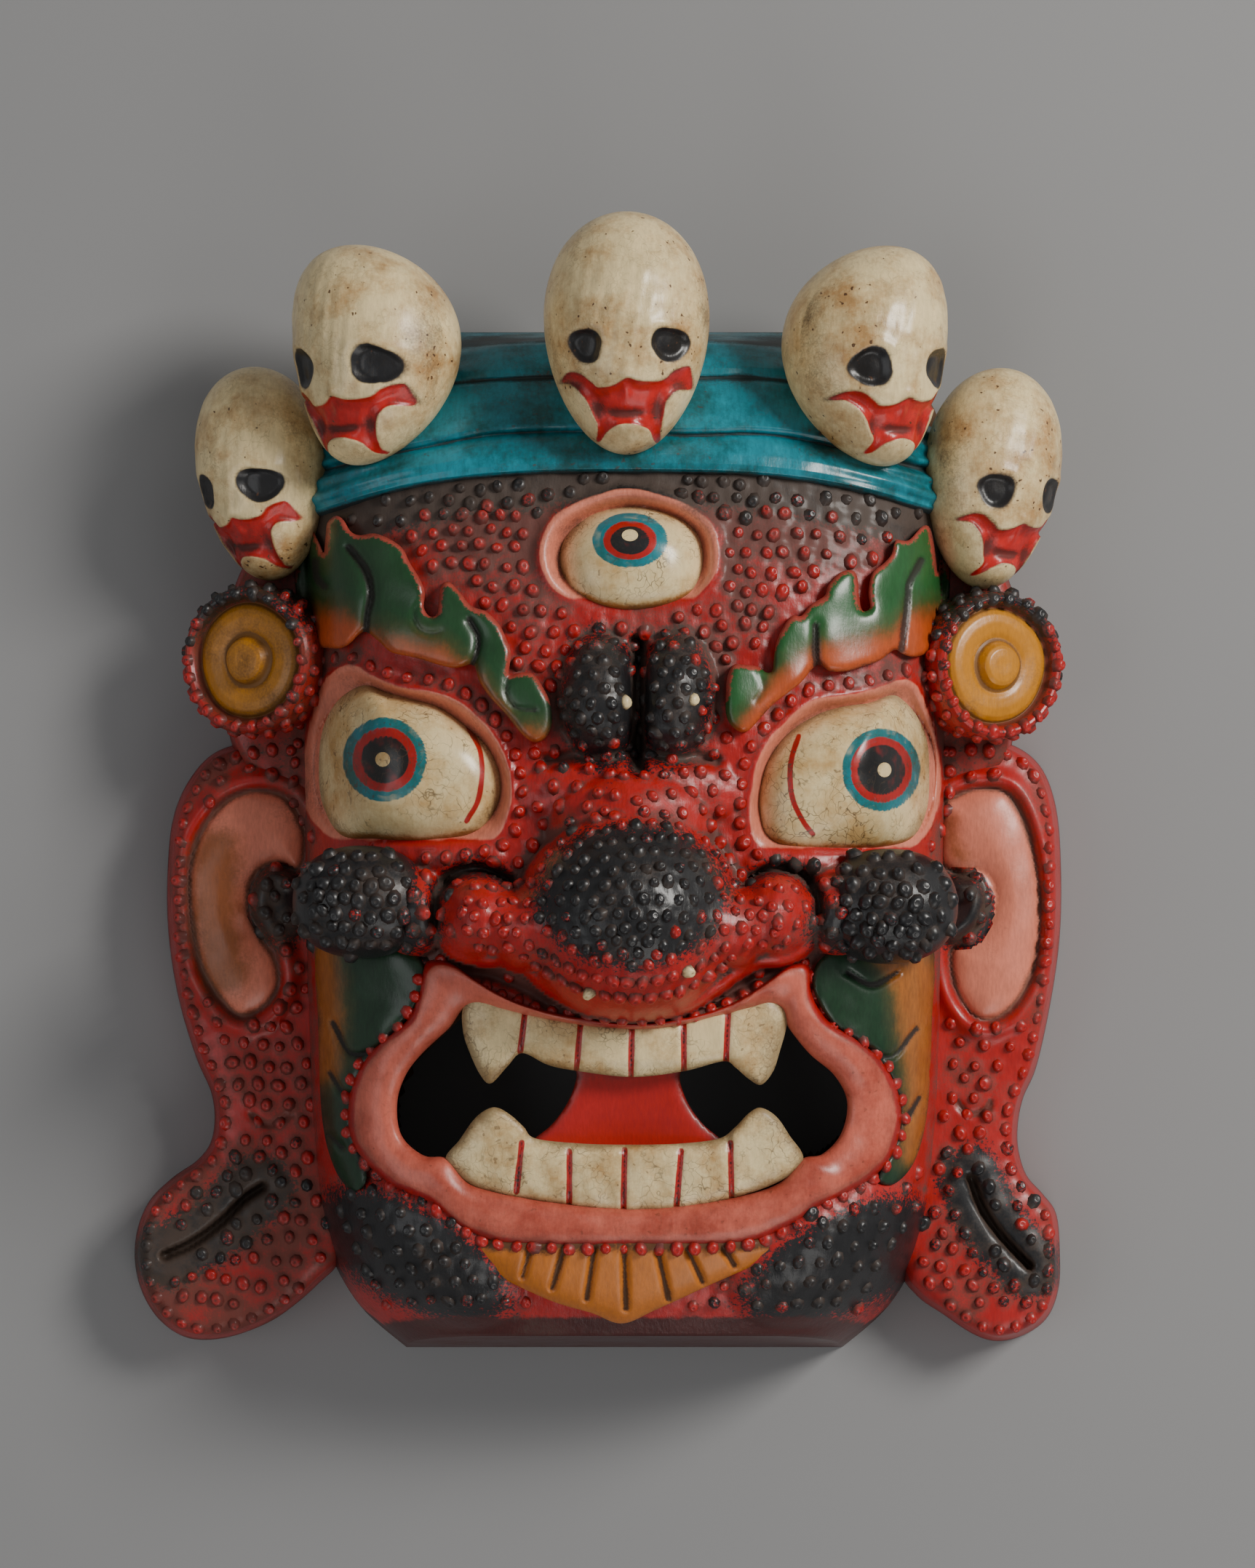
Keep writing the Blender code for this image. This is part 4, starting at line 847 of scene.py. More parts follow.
def make_aged_paint():
    """Aged paint: brush marks and uneven colour, grey-brown dust and painted shade in the hollows, wear on what stands
    out, and gloss.
    """
    inputs = {
        "Color": (0.5, 0.1, 0.1, 1), "Hollow": 0.0, "Dust": 0.5, "Dust Color": linear(DUST), "Unevenness": 0.5,
        "Stroke Scale": 60.0, "Gloss": 0.35,
    }
    nodes, put, out, where = new_group("aged paint", inputs, ["Color", "Roughness", "Height"])
    math_node, link = nodes.math, nodes.tree.links.new
    bristles = {"Vector": where, "Scale": (3.2, 0.8, 1.4), "Rotation": (0.0, 0.0, 0.35)}
    stretched = nodes.add("ShaderNodeMapping", bristles).outputs[0]
    strokes = nodes.noise(stretched, math_node("MULTIPLY", put["Stroke Scale"], 6.0), 3.0, 0.6)
    patches = nodes.noise(where, put["Stroke Scale"], 4.0, 0.55)
    fine = nodes.noise(where, 1400.0, 3.0)
    both = math_node("SUBTRACT", math_node("ADD", strokes, patches), 1.0)
    shade = math_node("MULTIPLY_ADD", both, put["Unevenness"], 1.0)
    toned = nodes.add("ShaderNodeHueSaturation", {"Color": put["Color"], "Value": shade}).outputs[0]
    grain = math_node("MULTIPLY_ADD", fine, 0.6, math_node("MULTIPLY", patches, 1.6))
    spots = math_node("ADD", put["Hollow"], math_node("SUBTRACT", grain, 1.1))
    dusty = math_node("MULTIPLY", nodes.ramp(spots, 0.15, 0.85, "SMOOTHSTEP"), put["Dust"])
    link(nodes.mix(dusty, toned, put["Dust Color"]), out["Color"])
    rough = math_node("ADD", math_node("ADD", put["Gloss"], 0.05), math_node("MULTIPLY", dusty, 0.4))
    link(math_node("ADD", rough, math_node("MULTIPLY_ADD", patches, 0.24, -0.12)), out["Roughness"])
    knife = math_node("MULTIPLY", nodes.noise(where, 330.0, 1.0), 0.6)
    marks = math_node("ADD", math_node("MULTIPLY", fine, 0.22), knife)
    link(math_node("ADD", math_node("MULTIPLY", strokes, 0.5), marks), out["Height"])


def make_crackle():
    """Crackle: short fine cracks and brown specks in an old light paint."""
    nodes, put, out, where = new_group("crackle", {"Amount": 0.5}, ["Cracks", "Stains", "Specks"])
    link = nodes.tree.links.new
    bent = nodes.noise(where, 90.0, 3.0, output="Color")
    moved = nodes.add("ShaderNodeMix", {0: 0.02, 4: where, 5: bent}, data_type="VECTOR").outputs[1]
    cells = nodes.add("ShaderNodeTexVoronoi", {"Vector": moved, "Scale": 240.0}, feature="DISTANCE_TO_EDGE").outputs[0]
    some = nodes.ramp(nodes.noise(where, 70.0, 5.0, 0.65), 0.42, 0.6)
    lines = nodes.math("MULTIPLY", nodes.ramp(cells, 0.05, 0.0), some)
    link(nodes.math("MULTIPLY", lines, put["Amount"]), out["Cracks"])
    blots = nodes.noise(where, 46.0, 7.0, 0.72)
    link(nodes.ramp(blots, 0.44, 0.64), out["Stains"])
    dots = nodes.math("ADD", nodes.noise(where, 520.0, 1.0), nodes.math("MULTIPLY", blots, 0.6))
    link(nodes.ramp(dots, 1.03, 1.07), out["Specks"])


def painted(name, ground, coats=(), dust=0.5, dust_colour=DUST, uneven=0.5, strokes=60.0, gloss=0.34, cracks=0.0,
            specks=0.5, stain="B98F55", bump=0.25):
    """A painted, varnished wood. Each coat on the ground is (layer, offset, softness, waver, dry brush, colour)."""
    material = bpy.data.materials.new(name)
    material.use_nodes = True
    nodes = Nodes(material.node_tree)
    shader = nodes.tree.nodes["Principled BSDF"].inputs
    colour = ground
    for key, offset, softness, waver, dry, other in coats:
        distance = nodes.math("ADD", nodes.layer(key), offset)
        edge = {"Distance": distance, "Softness": softness, "Waver": waver, "Dry Brush": dry}
        colour = nodes.mix(nodes.group("hand edge", edge)[0], colour, other)
    if cracks:
        age = nodes.group("crackle", {"Amount": cracks})
        colour = nodes.mix(nodes.math("MULTIPLY", age["Stains"], 0.75), colour, linear(stain), "MULTIPLY")
        colour = nodes.mix(age["Cracks"], colour, linear(CRACK))
        colour = nodes.mix(nodes.math("MULTIPLY", age["Specks"], specks), colour, linear(SPECK))
    # The hollow layer mixes in the dust colour: real dust in the hollows, and painted shade wherever a piece puts shade
    # into that layer.
    aged = nodes.group("aged paint", {
        "Color": colour, "Hollow": nodes.layer("hollow"), "Dust": dust, "Dust Color": linear(dust_colour),
        "Unevenness": uneven, "Stroke Scale": strokes, "Gloss": gloss,
    })
    relief = nodes.add("ShaderNodeBump", {"Height": aged["Height"], "Strength": bump, "Distance": 0.0004}).outputs[0]
    for output, key in ((aged["Color"], "Base Color"), (aged["Roughness"], "Roughness"), (relief, "Normal")):
        nodes.tree.links.new(output, shader[key])
    shader["IOR"].default_value = 1.5
    shader["Coat Weight"].default_value = 0.0 if gloss > 0.5 else 0.16
    shader["Coat Roughness"].default_value = 0.22


def paint(name, description, code):
    """A colour setting, with its default from a paint-chart code."""
    return FloatVectorProperty(name=name, description=description, default=linear(code)[:3], size=3, subtype="COLOR")


class MaskPaint(bpy.types.PropertyGroup):
    """The paints of the mask."""

    red: paint("Red", "Ground of face and ears", "AC1714")
    dark_red: paint("Dark red", "Shade of the tongue", "6A1512")
    black: paint("Black", "Black laid over the red, and sockets", "1C1C1E")
    bone: paint("Bone", "Skulls, teeth and eyeballs", "E2CC9A")
    blue: paint("Blue", "Turban", "0C7D8E")
    green: paint("Green", "Left brow", "1B4222")
    bright_green: paint("Bright green", "Right brow", "1F5528")
    orange: paint("Orange", "Foot of the brows and edge of the beard", "AC4A1E")
    ochre: paint("Ochre", "Faces of the ear drums", "BC7A18")
    pink: paint("Pink", "Eyelids and hollows of the ears", "D27A62")
    lip: paint("Lip", "Lips", "C4624F")
    iris: paint("Iris", "Outer ring of an iris", "127682")
    maroon: paint("Maroon", "Underside of the chin", "45110E")
    wood: paint("Wood", "Bare wood of the back", "6E4E35")


class MaskStuds(bpy.types.PropertyGroup):
    """The studs that cover the red and black carving."""

    width: FloatProperty(name="Width", description="Width of a stud", default=0.0041, unit="LENGTH")
    height: FloatProperty(name="Height", description="How far a stud stands out", default=0.0021, unit="LENGTH")
    spacing: FloatProperty(
        name="Spacing", description="Distance between neighbouring studs", default=0.0066, unit="LENGTH"
    )


class MaskStage(bpy.types.PropertyGroup):
    """The floor and the light."""

    floor: paint("Floor", "Colour of the floor", "8A8A8B")
    light: FloatProperty(name="Light", description="Power of the main light", default=30.0, unit="POWER")


def build_materials():
    """Every paint, from the three shared groups."""
    for make in (make_hand_edge, make_aged_paint, make_crackle):
        make()
    settings = bpy.context.scene.mask_paint
    shades = {key: tuple(getattr(settings, key)) + (1.0,) for key in MaskPaint.__annotations__}
    red, black, bone, pink, orange = (shades[key] for key in ("red", "black", "bone", "pink", "orange"))
    blacked = ("black", 0.0, 1.5, 0.9, 3.0, black)
    lid, under = ("lid", -0.2, 0.35, 0.3, 0.0, pink), ("under", 0.0, 0.8, 0.8, 0.2, shades["maroon"])
    painted("red paint", red, [blacked, lid, under], dust=0.85, dust_colour="4A3C34", uneven=0.7, bump=0.55)
    chipped = ("chip", 0.0, 0.4, 0.0, 0.2, bone)
    painted("red studs", red, [blacked, chipped], dust=0.8, dust_colour="3A2C24", uneven=0.45, bump=0.15)
    painted("blue paint", shades["blue"], dust=0.85, dust_colour="2A241F", uneven=0.8, strokes=40.0, cracks=0.3,
            stain="8A6238", gloss=0.28, bump=0.4)
    bat = [("socket", 0.0, 0.3, 0.3, 0.0, black), ("mouth", 0.0, 0.25, 0.25, 0.0, linear("C21F1A"))]
    painted("bone paint", bone, bat, dust=0.8, dust_colour="2A1A12", uneven=0.55, strokes=50.0, cracks=0.3,
            specks=0.9, stain="AE7F42", gloss=0.3, bump=0.4)
    rings = [("iris", 3.0, 0.15, 0.12, 0.0, shades["iris"]), ("iris", 2.0, 0.15, 0.12, 0.0, red),
             ("iris", 1.0, 0.15, 0.12, 0.0, black), ("iris", 0.0, 0.08, 0.05, 0.0, bone),
             ("vein", 0.0, 0.2, 0.1, 0.0, red), ("stain", 0.0, 0.9, 0.5, 0.4, linear("B07A34"))]
    painted("eye paint", bone, rings, dust=0.6, dust_colour="5A4526", uneven=0.3, cracks=0.9, stain="C9A878",
            gloss=0.26, bump=0.15)
    cuts = [("groove", 0.0, 0.18, 0.12, 0.0, red), ("groove", -0.72, 0.25, 0.2, 0.2, linear("3A0E0C"))]
    painted("tooth paint", bone, cuts, dust=0.7, dust_colour="6A5433", uneven=0.4, cracks=0.8)
    for side, green in (("left", "green"), ("right", "bright_green")):
        coats = [("low", 4.0, 6.0, 1.0, 0.6, linear("4E4620")), ("low", 0.0, 4.6, 1.0, 0.6, orange),
                 ("rim", 0.0, 0.4, 0.5, 0.6, linear("9C4034"))]
        painted(f"{side} brow paint", shades[green], coats, dust=0.9, dust_colour="1A140F", uneven=0.6, gloss=0.3)
    leaf = [("orange", 3.0, 4.0, 0.9, 0.4, linear("4A4420")), ("orange", 0.0, 3.0, 0.9, 0.4, linear("9A5A20"))]
    painted("leaf paint", linear("16351F"), leaf, dust=0.95, dust_colour="14100C", uneven=0.9, gloss=0.3)
    # Towards the inside of the mouth the lips turn black and the tongue's edge dark red: painted shade.
    lip = [("rim", 0.0, 0.5, 0.4, 0.1, red), ("throat", 0.0, 2.0, 0.8, 0.4, black)]
    painted("lip paint", shades["lip"], lip, dust=0.45, dust_colour="6A3F34", cracks=0.2, specks=0.35, stain="C08A78")
    throat = ("throat", 0.0, 1.5, 0.6, 0.2, shades["dark_red"])
    painted("tongue paint", red, [throat], dust=0.45, dust_colour="3A1512")
    edge = ("edge", 0.0, 0.5, 0.4, 0.2, orange)
    painted("beard paint", linear("BC6A1A"), [edge], dust=0.85, dust_colour="2E2013", uneven=0.6, gloss=0.38)
    ear = [blacked, ("oval", 0.0, 0.4, 0.35, 0.0, pink), ("stain", 0.0, 4.0, 1.4, 0.8, linear("94512A"))]
    painted("ear paint", red, ear, dust=0.75, dust_colour="4A382C", uneven=0.6)
    disc = ("disc", 0.0, 0.4, 0.3, 0.0, shades["ochre"])
    painted("drum paint", red, [blacked, disc], dust=0.75, dust_colour="4A2E14", gloss=0.3)
    painted("bare wood", shades["wood"], dust_colour="2A1D13", uneven=0.9, strokes=25.0, gloss=0.6, bump=0.6)


# Pieces


def hollowness(height, reach=3):
    """How far a grid of heights lies below its own neighbourhood, an even mean taken twice, from 0 to 1."""
    kernel = np.ones(2 * reach + 1) / (2 * reach + 1)
    spread = np.pad(height, reach, mode="edge")
    for _ in range(2):
        for axis in (0, 1):
            spread = np.apply_along_axis(lambda row: np.convolve(row, kernel, "same"), axis, spread)
    return np.clip((spread[reach:-reach, reach:-reach] - height) * 0.5, 0, 1)


def lip_lines(count=32):
    """The lips' outer edge and the opening, read so that equal places lie across from each other."""
    lines = []
    for side, outline in enumerate((LIPS_OUTER, MOUTH)):
        fine = curve(outline, 0.25)
        marks = [int(np.linalg.norm(fine - np.array(pair[side]), axis=1).argmin()) for pair in LIP_PAIRS]
        turn = 1 if (marks[2] - marks[1]) % len(fine) < len(fine) / 2 else -1
        spans = []
        for k, mark in enumerate(marks):
            reach = (marks[(k + 1) % len(marks)] - mark) * turn % len(fine)
            steps = np.round(np.linspace(0, reach, count + 1)[:-1]).astype(int)
            spans.append(fine[(mark + turn * steps) % len(fine)])
        lines.append(np.vstack(spans))
    return lines


def drafted(x, y, z):
    """Places of the front view at a height, spread a little towards the back as the block's sides are."""
    out = 1 + DRAFT * np.clip(1 - z / DRAFT_TOP, 0, 1)
    return np.stack([x * out, y * out, z], axis=-1)


def even_turn():
    """Angles of the superellipse arch at even steps along its length, with closer steps at its two feet."""
    turn = np.concatenate([np.linspace(0, 0.12, 26)[:-1], np.linspace(0.12, 0.88, 250), np.linspace(0.88, 1, 26)[1:]])
    fine = np.linspace(0, math.pi, 4001)
    fx = signed(np.cos(fine), 2 / ARCH_POWER) * 101
    fz = np.abs(np.sin(fine)) ** (2 / ARCH_POWER) * 81
    along = np.concatenate([[0], np.cumsum(np.hypot(np.diff(fx), np.diff(fz)))])
    return np.interp((1 - turn) * along[-1], along, fine)


def build_face():
    """The face: a superellipse arch swept from chin to turban, with its carving added, closed down to the back."""
    angle = even_turn()
    level = np.arange(CHIN, TURBAN_EDGE + 2.1, 0.95)[:, None]
    half, crown = section(level)
    side = signed(np.cos(angle), 2 / ARCH_POWER)
    x = FACE_MIDDLE + half * side
    y = level - (TURBAN_EDGE - turban_edge(x)) * ease(level, 50.0, 98.0)
    body = np.abs(side) < 0.97
    sx, sy = snapped(x.copy(), y.copy(), [eye[key] for eye in EYES.values() for key in ("lid", "ball")], 0.55)
    x, y = np.where(body, sx, x), np.where(body, sy, y)
    share = np.minimum(np.clip(np.abs(x - FACE_MIDDLE) / half, 0, 1), 0.999)
    z = np.where(body, crown * arched(share), crown * np.abs(np.sin(angle)) ** (2 / ARCH_POWER))
    extra, lids = sockets(x, y)
    uneven = 0.3 * ripple(x, y, 14.0, 3) + 0.22 * ripple(x, y, 5.0, 23) * (lids < -1)
    uneven = uneven * ease(y, CHIN + 2.0, CHIN + 20.0)
    z = z + (carving(x, y) + extra + uneven) * ease(z, 6.0, 30.0)
    carved = drafted(x, y, z)
    low = carved[0, :, 2] * np.linspace(0, 1, CHIN_ROWS + 1)[:-1][:, None]
    points = np.concatenate([drafted(x[0], y[0], low), carved])
    rows, columns = points.shape[:2]
    # The surface stops under the middle of the lips
    outer, inner = lip_lines()
    keep = ~within((points[:-1, :-1, :2] + points[1:, 1:, :2]) / 2, outer * 0.55 + inner * 0.45)
    keep[:CHIN_ROWS] = True
    black = blackness(x, y)
    hollow = hollowness(points[..., 2]) * 0.8 + 0.1
    hollow[:CHIN_ROWS] *= 0.2
    # Darker up the face towards the turban, and painted shade on the block's sides where they turn away.
    grime_and_shade = 0.26 * ease(y, -5.0, 40.0) + 0.42 * ease(y, 55.0, 92.0) + 0.5 * ease(np.abs(x - FACE_MIDDLE), 92.0, 101.0)
    hollow[CHIN_ROWS:] += grime_and_shade
    hollow[CHIN_ROWS:] *= 1 - 0.65 * ease(lids, -1.0, 0.6)
    hollow[CHIN_ROWS:] -= 0.2 * ease(black, -2.0, 3.0) * (y < 55)
    pad = np.ones((CHIN_ROWS, columns))
    layers = {
        "black": np.vstack([-FAR * pad, black]),
        "lid": np.vstack([-FAR * pad, lids]),
        "hollow": hollow,
        "under": np.vstack([6.0 * pad, (UNDERSIDE - y) + np.clip(14 - z, 0, 30) * 0.5]),
    }
    faces = grid_faces(rows, columns, keep=keep)
    mesh_piece("face", points.reshape(-1, 3), [faces], layers, "red paint", "red_paint")


def build_turban():
    """The turban: the block's arch with its folds, whose lines sag to the sides, closed over the crown to the back."""
    folds, relief = np.array(TURBAN_FOLDS).T
    rows_at = np.unique(np.concatenate([np.linspace(folds[0], folds[-1], 90), folds]))[:, None]
    side = signed(np.cos(np.linspace(math.pi, 0, 240)), 2 / TURBAN_POWER)
    level = TURBAN_EDGE + rows_at
    half, crown = section(np.minimum(level, CROWN))
    x = FACE_MIDDLE + half * side
    y = level - (TURBAN_EDGE - turban_edge(x))
    z = crown * arched(np.minimum(np.abs(side), 1))
    pleats = 0.9 * np.sin(rows_at * 1.3 + 4 * np.abs(side) ** 3) * ease(np.abs(side), 0.55, 0.95)
    wander = 0.7 * ripple(x, y, 45.0, 6) * ease(rows_at, 3.0, 8.0) * (1 - ease(rows_at, 36.0, 40.0))
    lift = np.interp(rows_at + wander, folds, relief) + pleats + 0.25 * ripple(x, y, 16.0, 8)
    across = signed(side, ARCH_POWER - 1) / half
    normal = np.stack([across, np.zeros_like(across), np.abs(z / crown) ** (ARCH_POWER - 1) / crown], axis=-1)
    normal /= np.maximum(np.linalg.norm(normal, axis=-1, keepdims=True), 1e-9)
    points = drafted(x, y, z) + normal * lift[..., None] * ease(z, 0.0, 12.0)[..., None]
    drop = np.linspace(0, 1, 20)[1:][:, None]
    cx, cy, cz = points[-1].T
    back = np.stack([cx * (1 + 0.01 * drop), cy * (1 - drop) + CROWN_FOOT * drop, cz * (1 - drop)], axis=-1)
    points = np.concatenate([points, back])
    rows, columns = points.shape[:2]
    # Darker in the creases between folds and along the tucked lower edge: dust and painted shade.
    crease_dust_and_shade = np.clip((3.3 - lift) * 0.45, 0, 0.8)
    faded = np.linspace(0.8, 0.2, len(drop))[:, None] * np.ones(columns)
    hollow = np.vstack([crease_dust_and_shade, faded]) + 0.8 * hollowness(points[..., 2], 2)
    faces = grid_faces(rows, columns)
    mesh_piece("turban", points.reshape(-1, 3), [faces], {"hollow": hollow}, "blue paint", "blue_paint")


def build_back():
    """The back: a vault behind the face, and the flat rim that lies on the wall or table."""
    count = 240
    turn = np.linspace(0, math.tau, count + 1)[:-1]
    half = section(np.array([0.0]))[0][0] - REAR_RIM
    middle = np.array([FACE_MIDDLE, HOLLOW_MIDDLE])
    plan = np.column_stack([
        FACE_MIDDLE + half * signed(np.cos(turn), 2 / HOLLOW_PLAN_POWER),
        HOLLOW_MIDDLE + HOLLOW_HALF_HEIGHT * signed(np.sin(turn), 2 / HOLLOW_PLAN_POWER),
    ])
    shares = np.sin(np.linspace(math.pi / 2, 0.02, 70))
    ring = middle + (plan - middle) * shares[:, None, None]
    x, y = ring[..., 0], ring[..., 1]
    vault = (1 - shares**HOLLOW_VAULT_POWER)[:, None] ** (1 / HOLLOW_VAULT_POWER)
    z = (arch(x, y) - FRONT_WALL) * vault
    z = z + 0.5 * ripple(x, y, 9.0, 5) * vault
    faces = grid_faces(len(ring), count, True, ~within(ring[:-1], curve(MOUTH, 1.0)))[:, ::-1]
    hollow = np.clip(vault, 0, 1) * np.ones(count) * 0.5
    points = np.stack([x, y, z], axis=-1).reshape(-1, 3)
    mesh_piece("hollow", points, [faces], {"hollow": hollow}, "bare wood", "bare_wood")

    level = np.linspace(CHIN, CROWN, 120)
    width = section(level)[0] * (1 + DRAFT)
    right, left = (np.column_stack([FACE_MIDDLE + way * width, level * (1 + DRAFT)]) for way in (1, -1))
    share = np.linspace(0, 1, 80)[:, None]
    top, foot = right[-1] * (1 - share) + left[-1] * share, left[0] * (1 - share) + right[0] * share
    loop = np.vstack([right, top, left[::-1], foot])
    around = np.arctan2(*(plan - middle).T[::-1])
    outer_turn = np.arctan2(*(loop - middle).T[::-1])
    order = np.argsort(outer_turn)
    away = np.linalg.norm(loop - middle, axis=1)[order]
    reach = np.interp(around, outer_turn[order], away, period=math.tau)
    outer = middle + np.column_stack([np.cos(around), np.sin(around)]) * reach[:, None]
    share = np.linspace(0, 1, 8)[:, None, None]
    rim = plan * (1 - share) + outer * share
    points = np.concatenate([rim, np.zeros(rim.shape[:2] + (1,))], axis=-1).reshape(-1, 3)
    flat = {"hollow": np.zeros(len(points))}
    mesh_piece("back_rim", points, [grid_faces(len(rim), count, True)], flat, "bare wood", "bare_wood")


def build_lips():
    """The lips: a rounded band carried round the mouth, from its red outer rim down into the opening."""
    outer, inner = lip_lines()
    steps = np.linspace(0, len(LIP_PROFILE) - 1, 44)
    shares, rises = (np.interp(steps, np.arange(len(LIP_PROFILE)), values) for values in np.array(LIP_PROFILE).T)
    rise, across = rises[:, None], shares[:, None, None]
    line = outer * (1 - across) + inner * across
    x, y = line[..., 0], line[..., 1]
    narrow = np.clip(np.linalg.norm(outer - inner, axis=1) / 9.0, 0.55, 1.0)
    z = arch(x, y) + np.where(rise > -1.5, rise * narrow, rise) + 0.2 * ripple(x, y, 9.0, 11)
    points = np.stack([x, y, z], axis=-1).reshape(-1, 3)
    away, level = np.linalg.norm(line - outer, axis=-1), np.ones_like(x)
    layers = {
        "rim": 1.7 - away,
        # Painted shade: black down the inner wall into the opening, and darker towards it; also darker just inside the
        # red rim.
        "throat": (-3.0 - rise) * level,
        "hollow": 0.5 * bell(away - 2.0, 1.4) + np.clip(-rise / 14, 0, 0.8) * level,
    }
    faces = grid_faces(len(line), len(outer), True)[:, ::-1]
    mesh_piece("lips", points, [faces], layers, "lip paint", "pink_paint")


def near_lines(x, y, lines):
    """Distance to the nearest of a set of carved lines."""
    value = np.full(x.shape, FAR)
    for line in lines:
        value = np.minimum(value, gap_to(pairs(x, y), line))
    return value


def edge_dust_and_shade(d, width):
    """Dust and painted shade along the edge of a plate and down its wall: exp(-depth / width)."""
    return np.exp(-np.clip(d, 0, 9) / width)


def build_teeth():
    """The rows of teeth, each a rounded plate scored between its teeth, and the tongue between them."""
    for row, tooth in TEETH.items():
        def top(x, y, d):
            score = near_lines(x, y, tooth["grooves"])
            bite = np.clip(BITE_WIDTH - np.abs(y - tooth["bite"]), 0, BITE_WIDTH)
            bevel = BITE_SLOPE * bite * (np.abs(x) < 33)
            body = arch(x, y) + TOOTH_RELIEF - 2.2 * np.exp(-d / 1.6)
            return body - bevel - 1.1 * bell(score, 0.9) + 0.2 * ripple(x, y, 8.0, 4)

        layers = {
            "groove": lambda x, y, d: SCORE_WIDTH - near_lines(x, y, tooth["grooves"]),
            # Darker at each plate's edge and down its wall, and towards the mouth's corners: dust and painted shade.
            "hollow": lambda x, y, d: edge_dust_and_shade(d, 1.8) * 0.75 + 0.35 * ease(np.abs(x), 36.0, 44.0),
        }
        plate_piece(
            f"{row}_teeth", tooth["outline"], 0.9, top, lambda x, y: arch(x, y) + 2.0 - TOOTH_DEPTH, layers,
            "tooth paint", "bone_paint",
        )

    def tongue_top(x, y, d):
        return arch(x, y) - 7.5 - 1.6 * np.exp(-d / 2.0) - 1.2 * (1 - (x / 20) ** 2)

    layers = {
        # Painted shade: dark red round the tongue's edge and down its wall, and darker at its top, under the upper
        # teeth.
        "throat": lambda x, y, d: 1.0 - d,
        "hollow": lambda x, y, d: np.clip(ease(y, -98, -92), 0, 1) * 0.6 + edge_dust_and_shade(d, 1.5) * 0.3,
    }
    plate_piece(
        "tongue", TONGUE, 1.0, tongue_top, lambda x, y: arch(x, y) - 7.0 - TONGUE_DEPTH, layers, "tongue paint",
        "red_paint",
    )


def build_brows():
    """The brows: flame-like leaves standing proud, rounded at the edge, with deep cuts between their lobes."""

    def lowness(x, y, d):
        lower = np.interp(np.abs(x), *BROW_FOOT)
        return np.interp(np.abs(x), *BROW_ORANGE) - (y - lower)

    for side, brow in BROWS.items():
        def top(x, y, d):
            height = arch(x, y) + BROW_RELIEF - 2.0 * np.exp(-d / 0.8) + 0.35 * ripple(x, y, 11.0, 21)
            for path, width, deep in brow["grooves"]:
                height = height - 1.3 * deep * np.exp(-gap_to(pairs(x, y), path) / width)
            return height

        def near_cut(x, y, d):
            value = edge_dust_and_shade(d, 0.9) * 0.35
            for path, width, deep in brow["grooves"]:
                value = np.maximum(value, deep / 2.2 * bell(gap_to(pairs(x, y), path), width))
            return value

        layers = {
            "hollow": near_cut,
            "low": lowness,
            "rim": lambda x, y, d: 1.3 - d - 6.0 * ease(lowness(x, y, d), -12.0, -2.0),
        }
        plate_piece(
            f"{side}_brow", brow["outline"], 0.95, top, lambda x, y: arch(x, y) * 0.93 - 2.0, layers,
            f"{side} brow paint", "green_paint",
        )


def build_beard_and_leaves():
    """The beard plate with its cuts, and the leaf strips beside the mouth with their veins."""

    def beard_top(x, y, d):
        cut = near_lines(x, y, BEARD_CUTS)
        return arch(x, y) + BEARD_RELIEF - 2.6 * np.exp(-d / 2.4) - 2.0 * bell(cut, 1.0)

    # Darker in the cuts, and painted shade along the beard's top, under the lips.
    def beard_dust_and_shade(x, y, d):
        return np.maximum(1.1 * bell(near_lines(x, y, BEARD_CUTS), 0.9), 0.8 * ease(y, -151, -146))

    layers = {"hollow": beard_dust_and_shade, "edge": lambda x, y, d: -1.0 - d}
    plate_piece("beard", BEARD, 0.9, beard_top, lambda x, y: arch(x, y) - 4.0, layers, "beard paint", "ochre_paint")
    for side, leaf in LEAVES.items():
        def top(x, y, d):
            vein = near_lines(x, y, leaf["veins"])
            edge = arch(x, y) + LEAF_RELIEF - 1.6 * np.exp(-d / 1.6)
            return edge - 2.4 * bell(vein, 1.2) + 0.9 * ripple(x, y, 12.0, 13)

        layers = {
            "hollow": lambda x, y, d: np.maximum(bell(near_lines(x, y, leaf["veins"]), 0.9), 0.5 * edge_dust_and_shade(d, 1.2)),
            "orange": lambda x, y, d: leaf["orange_width"] - near_lines(x, y, [leaf["orange"]]),
        }
        plate_piece(
            f"{side}_leaf", leaf["outline"], 1.0, top, lambda x, y: arch(x, y) * 0.95 - 3.0, layers, "leaf paint",
            "green_paint",
        )


def iris_value(places, eye):
    """Which painted ring a place of an eyeball lies in: 0 to 1 in the glint, then one less for each ring outwards."""
    px, py = places.T
    cx, cy = eye["iris"]
    away = np.hypot(px - cx, (py - cy) * eye["squash"])
    glint = np.hypot(px - cx - eye["glint"][0], (py - cy - eye["glint"][1]) * eye["squash"])
    teal, red, pupil, dot = eye["rings"]
    bounds = [glint < dot + 0.8, away < pupil + 0.9, away < red + 0.9]
    inner = [dot - glint, np.minimum(pupil - away - 1, -0.85), np.minimum(red - away - 2, -1.85)]
    return np.select(bounds, inner, np.minimum(teal - away - 3, -2.85))


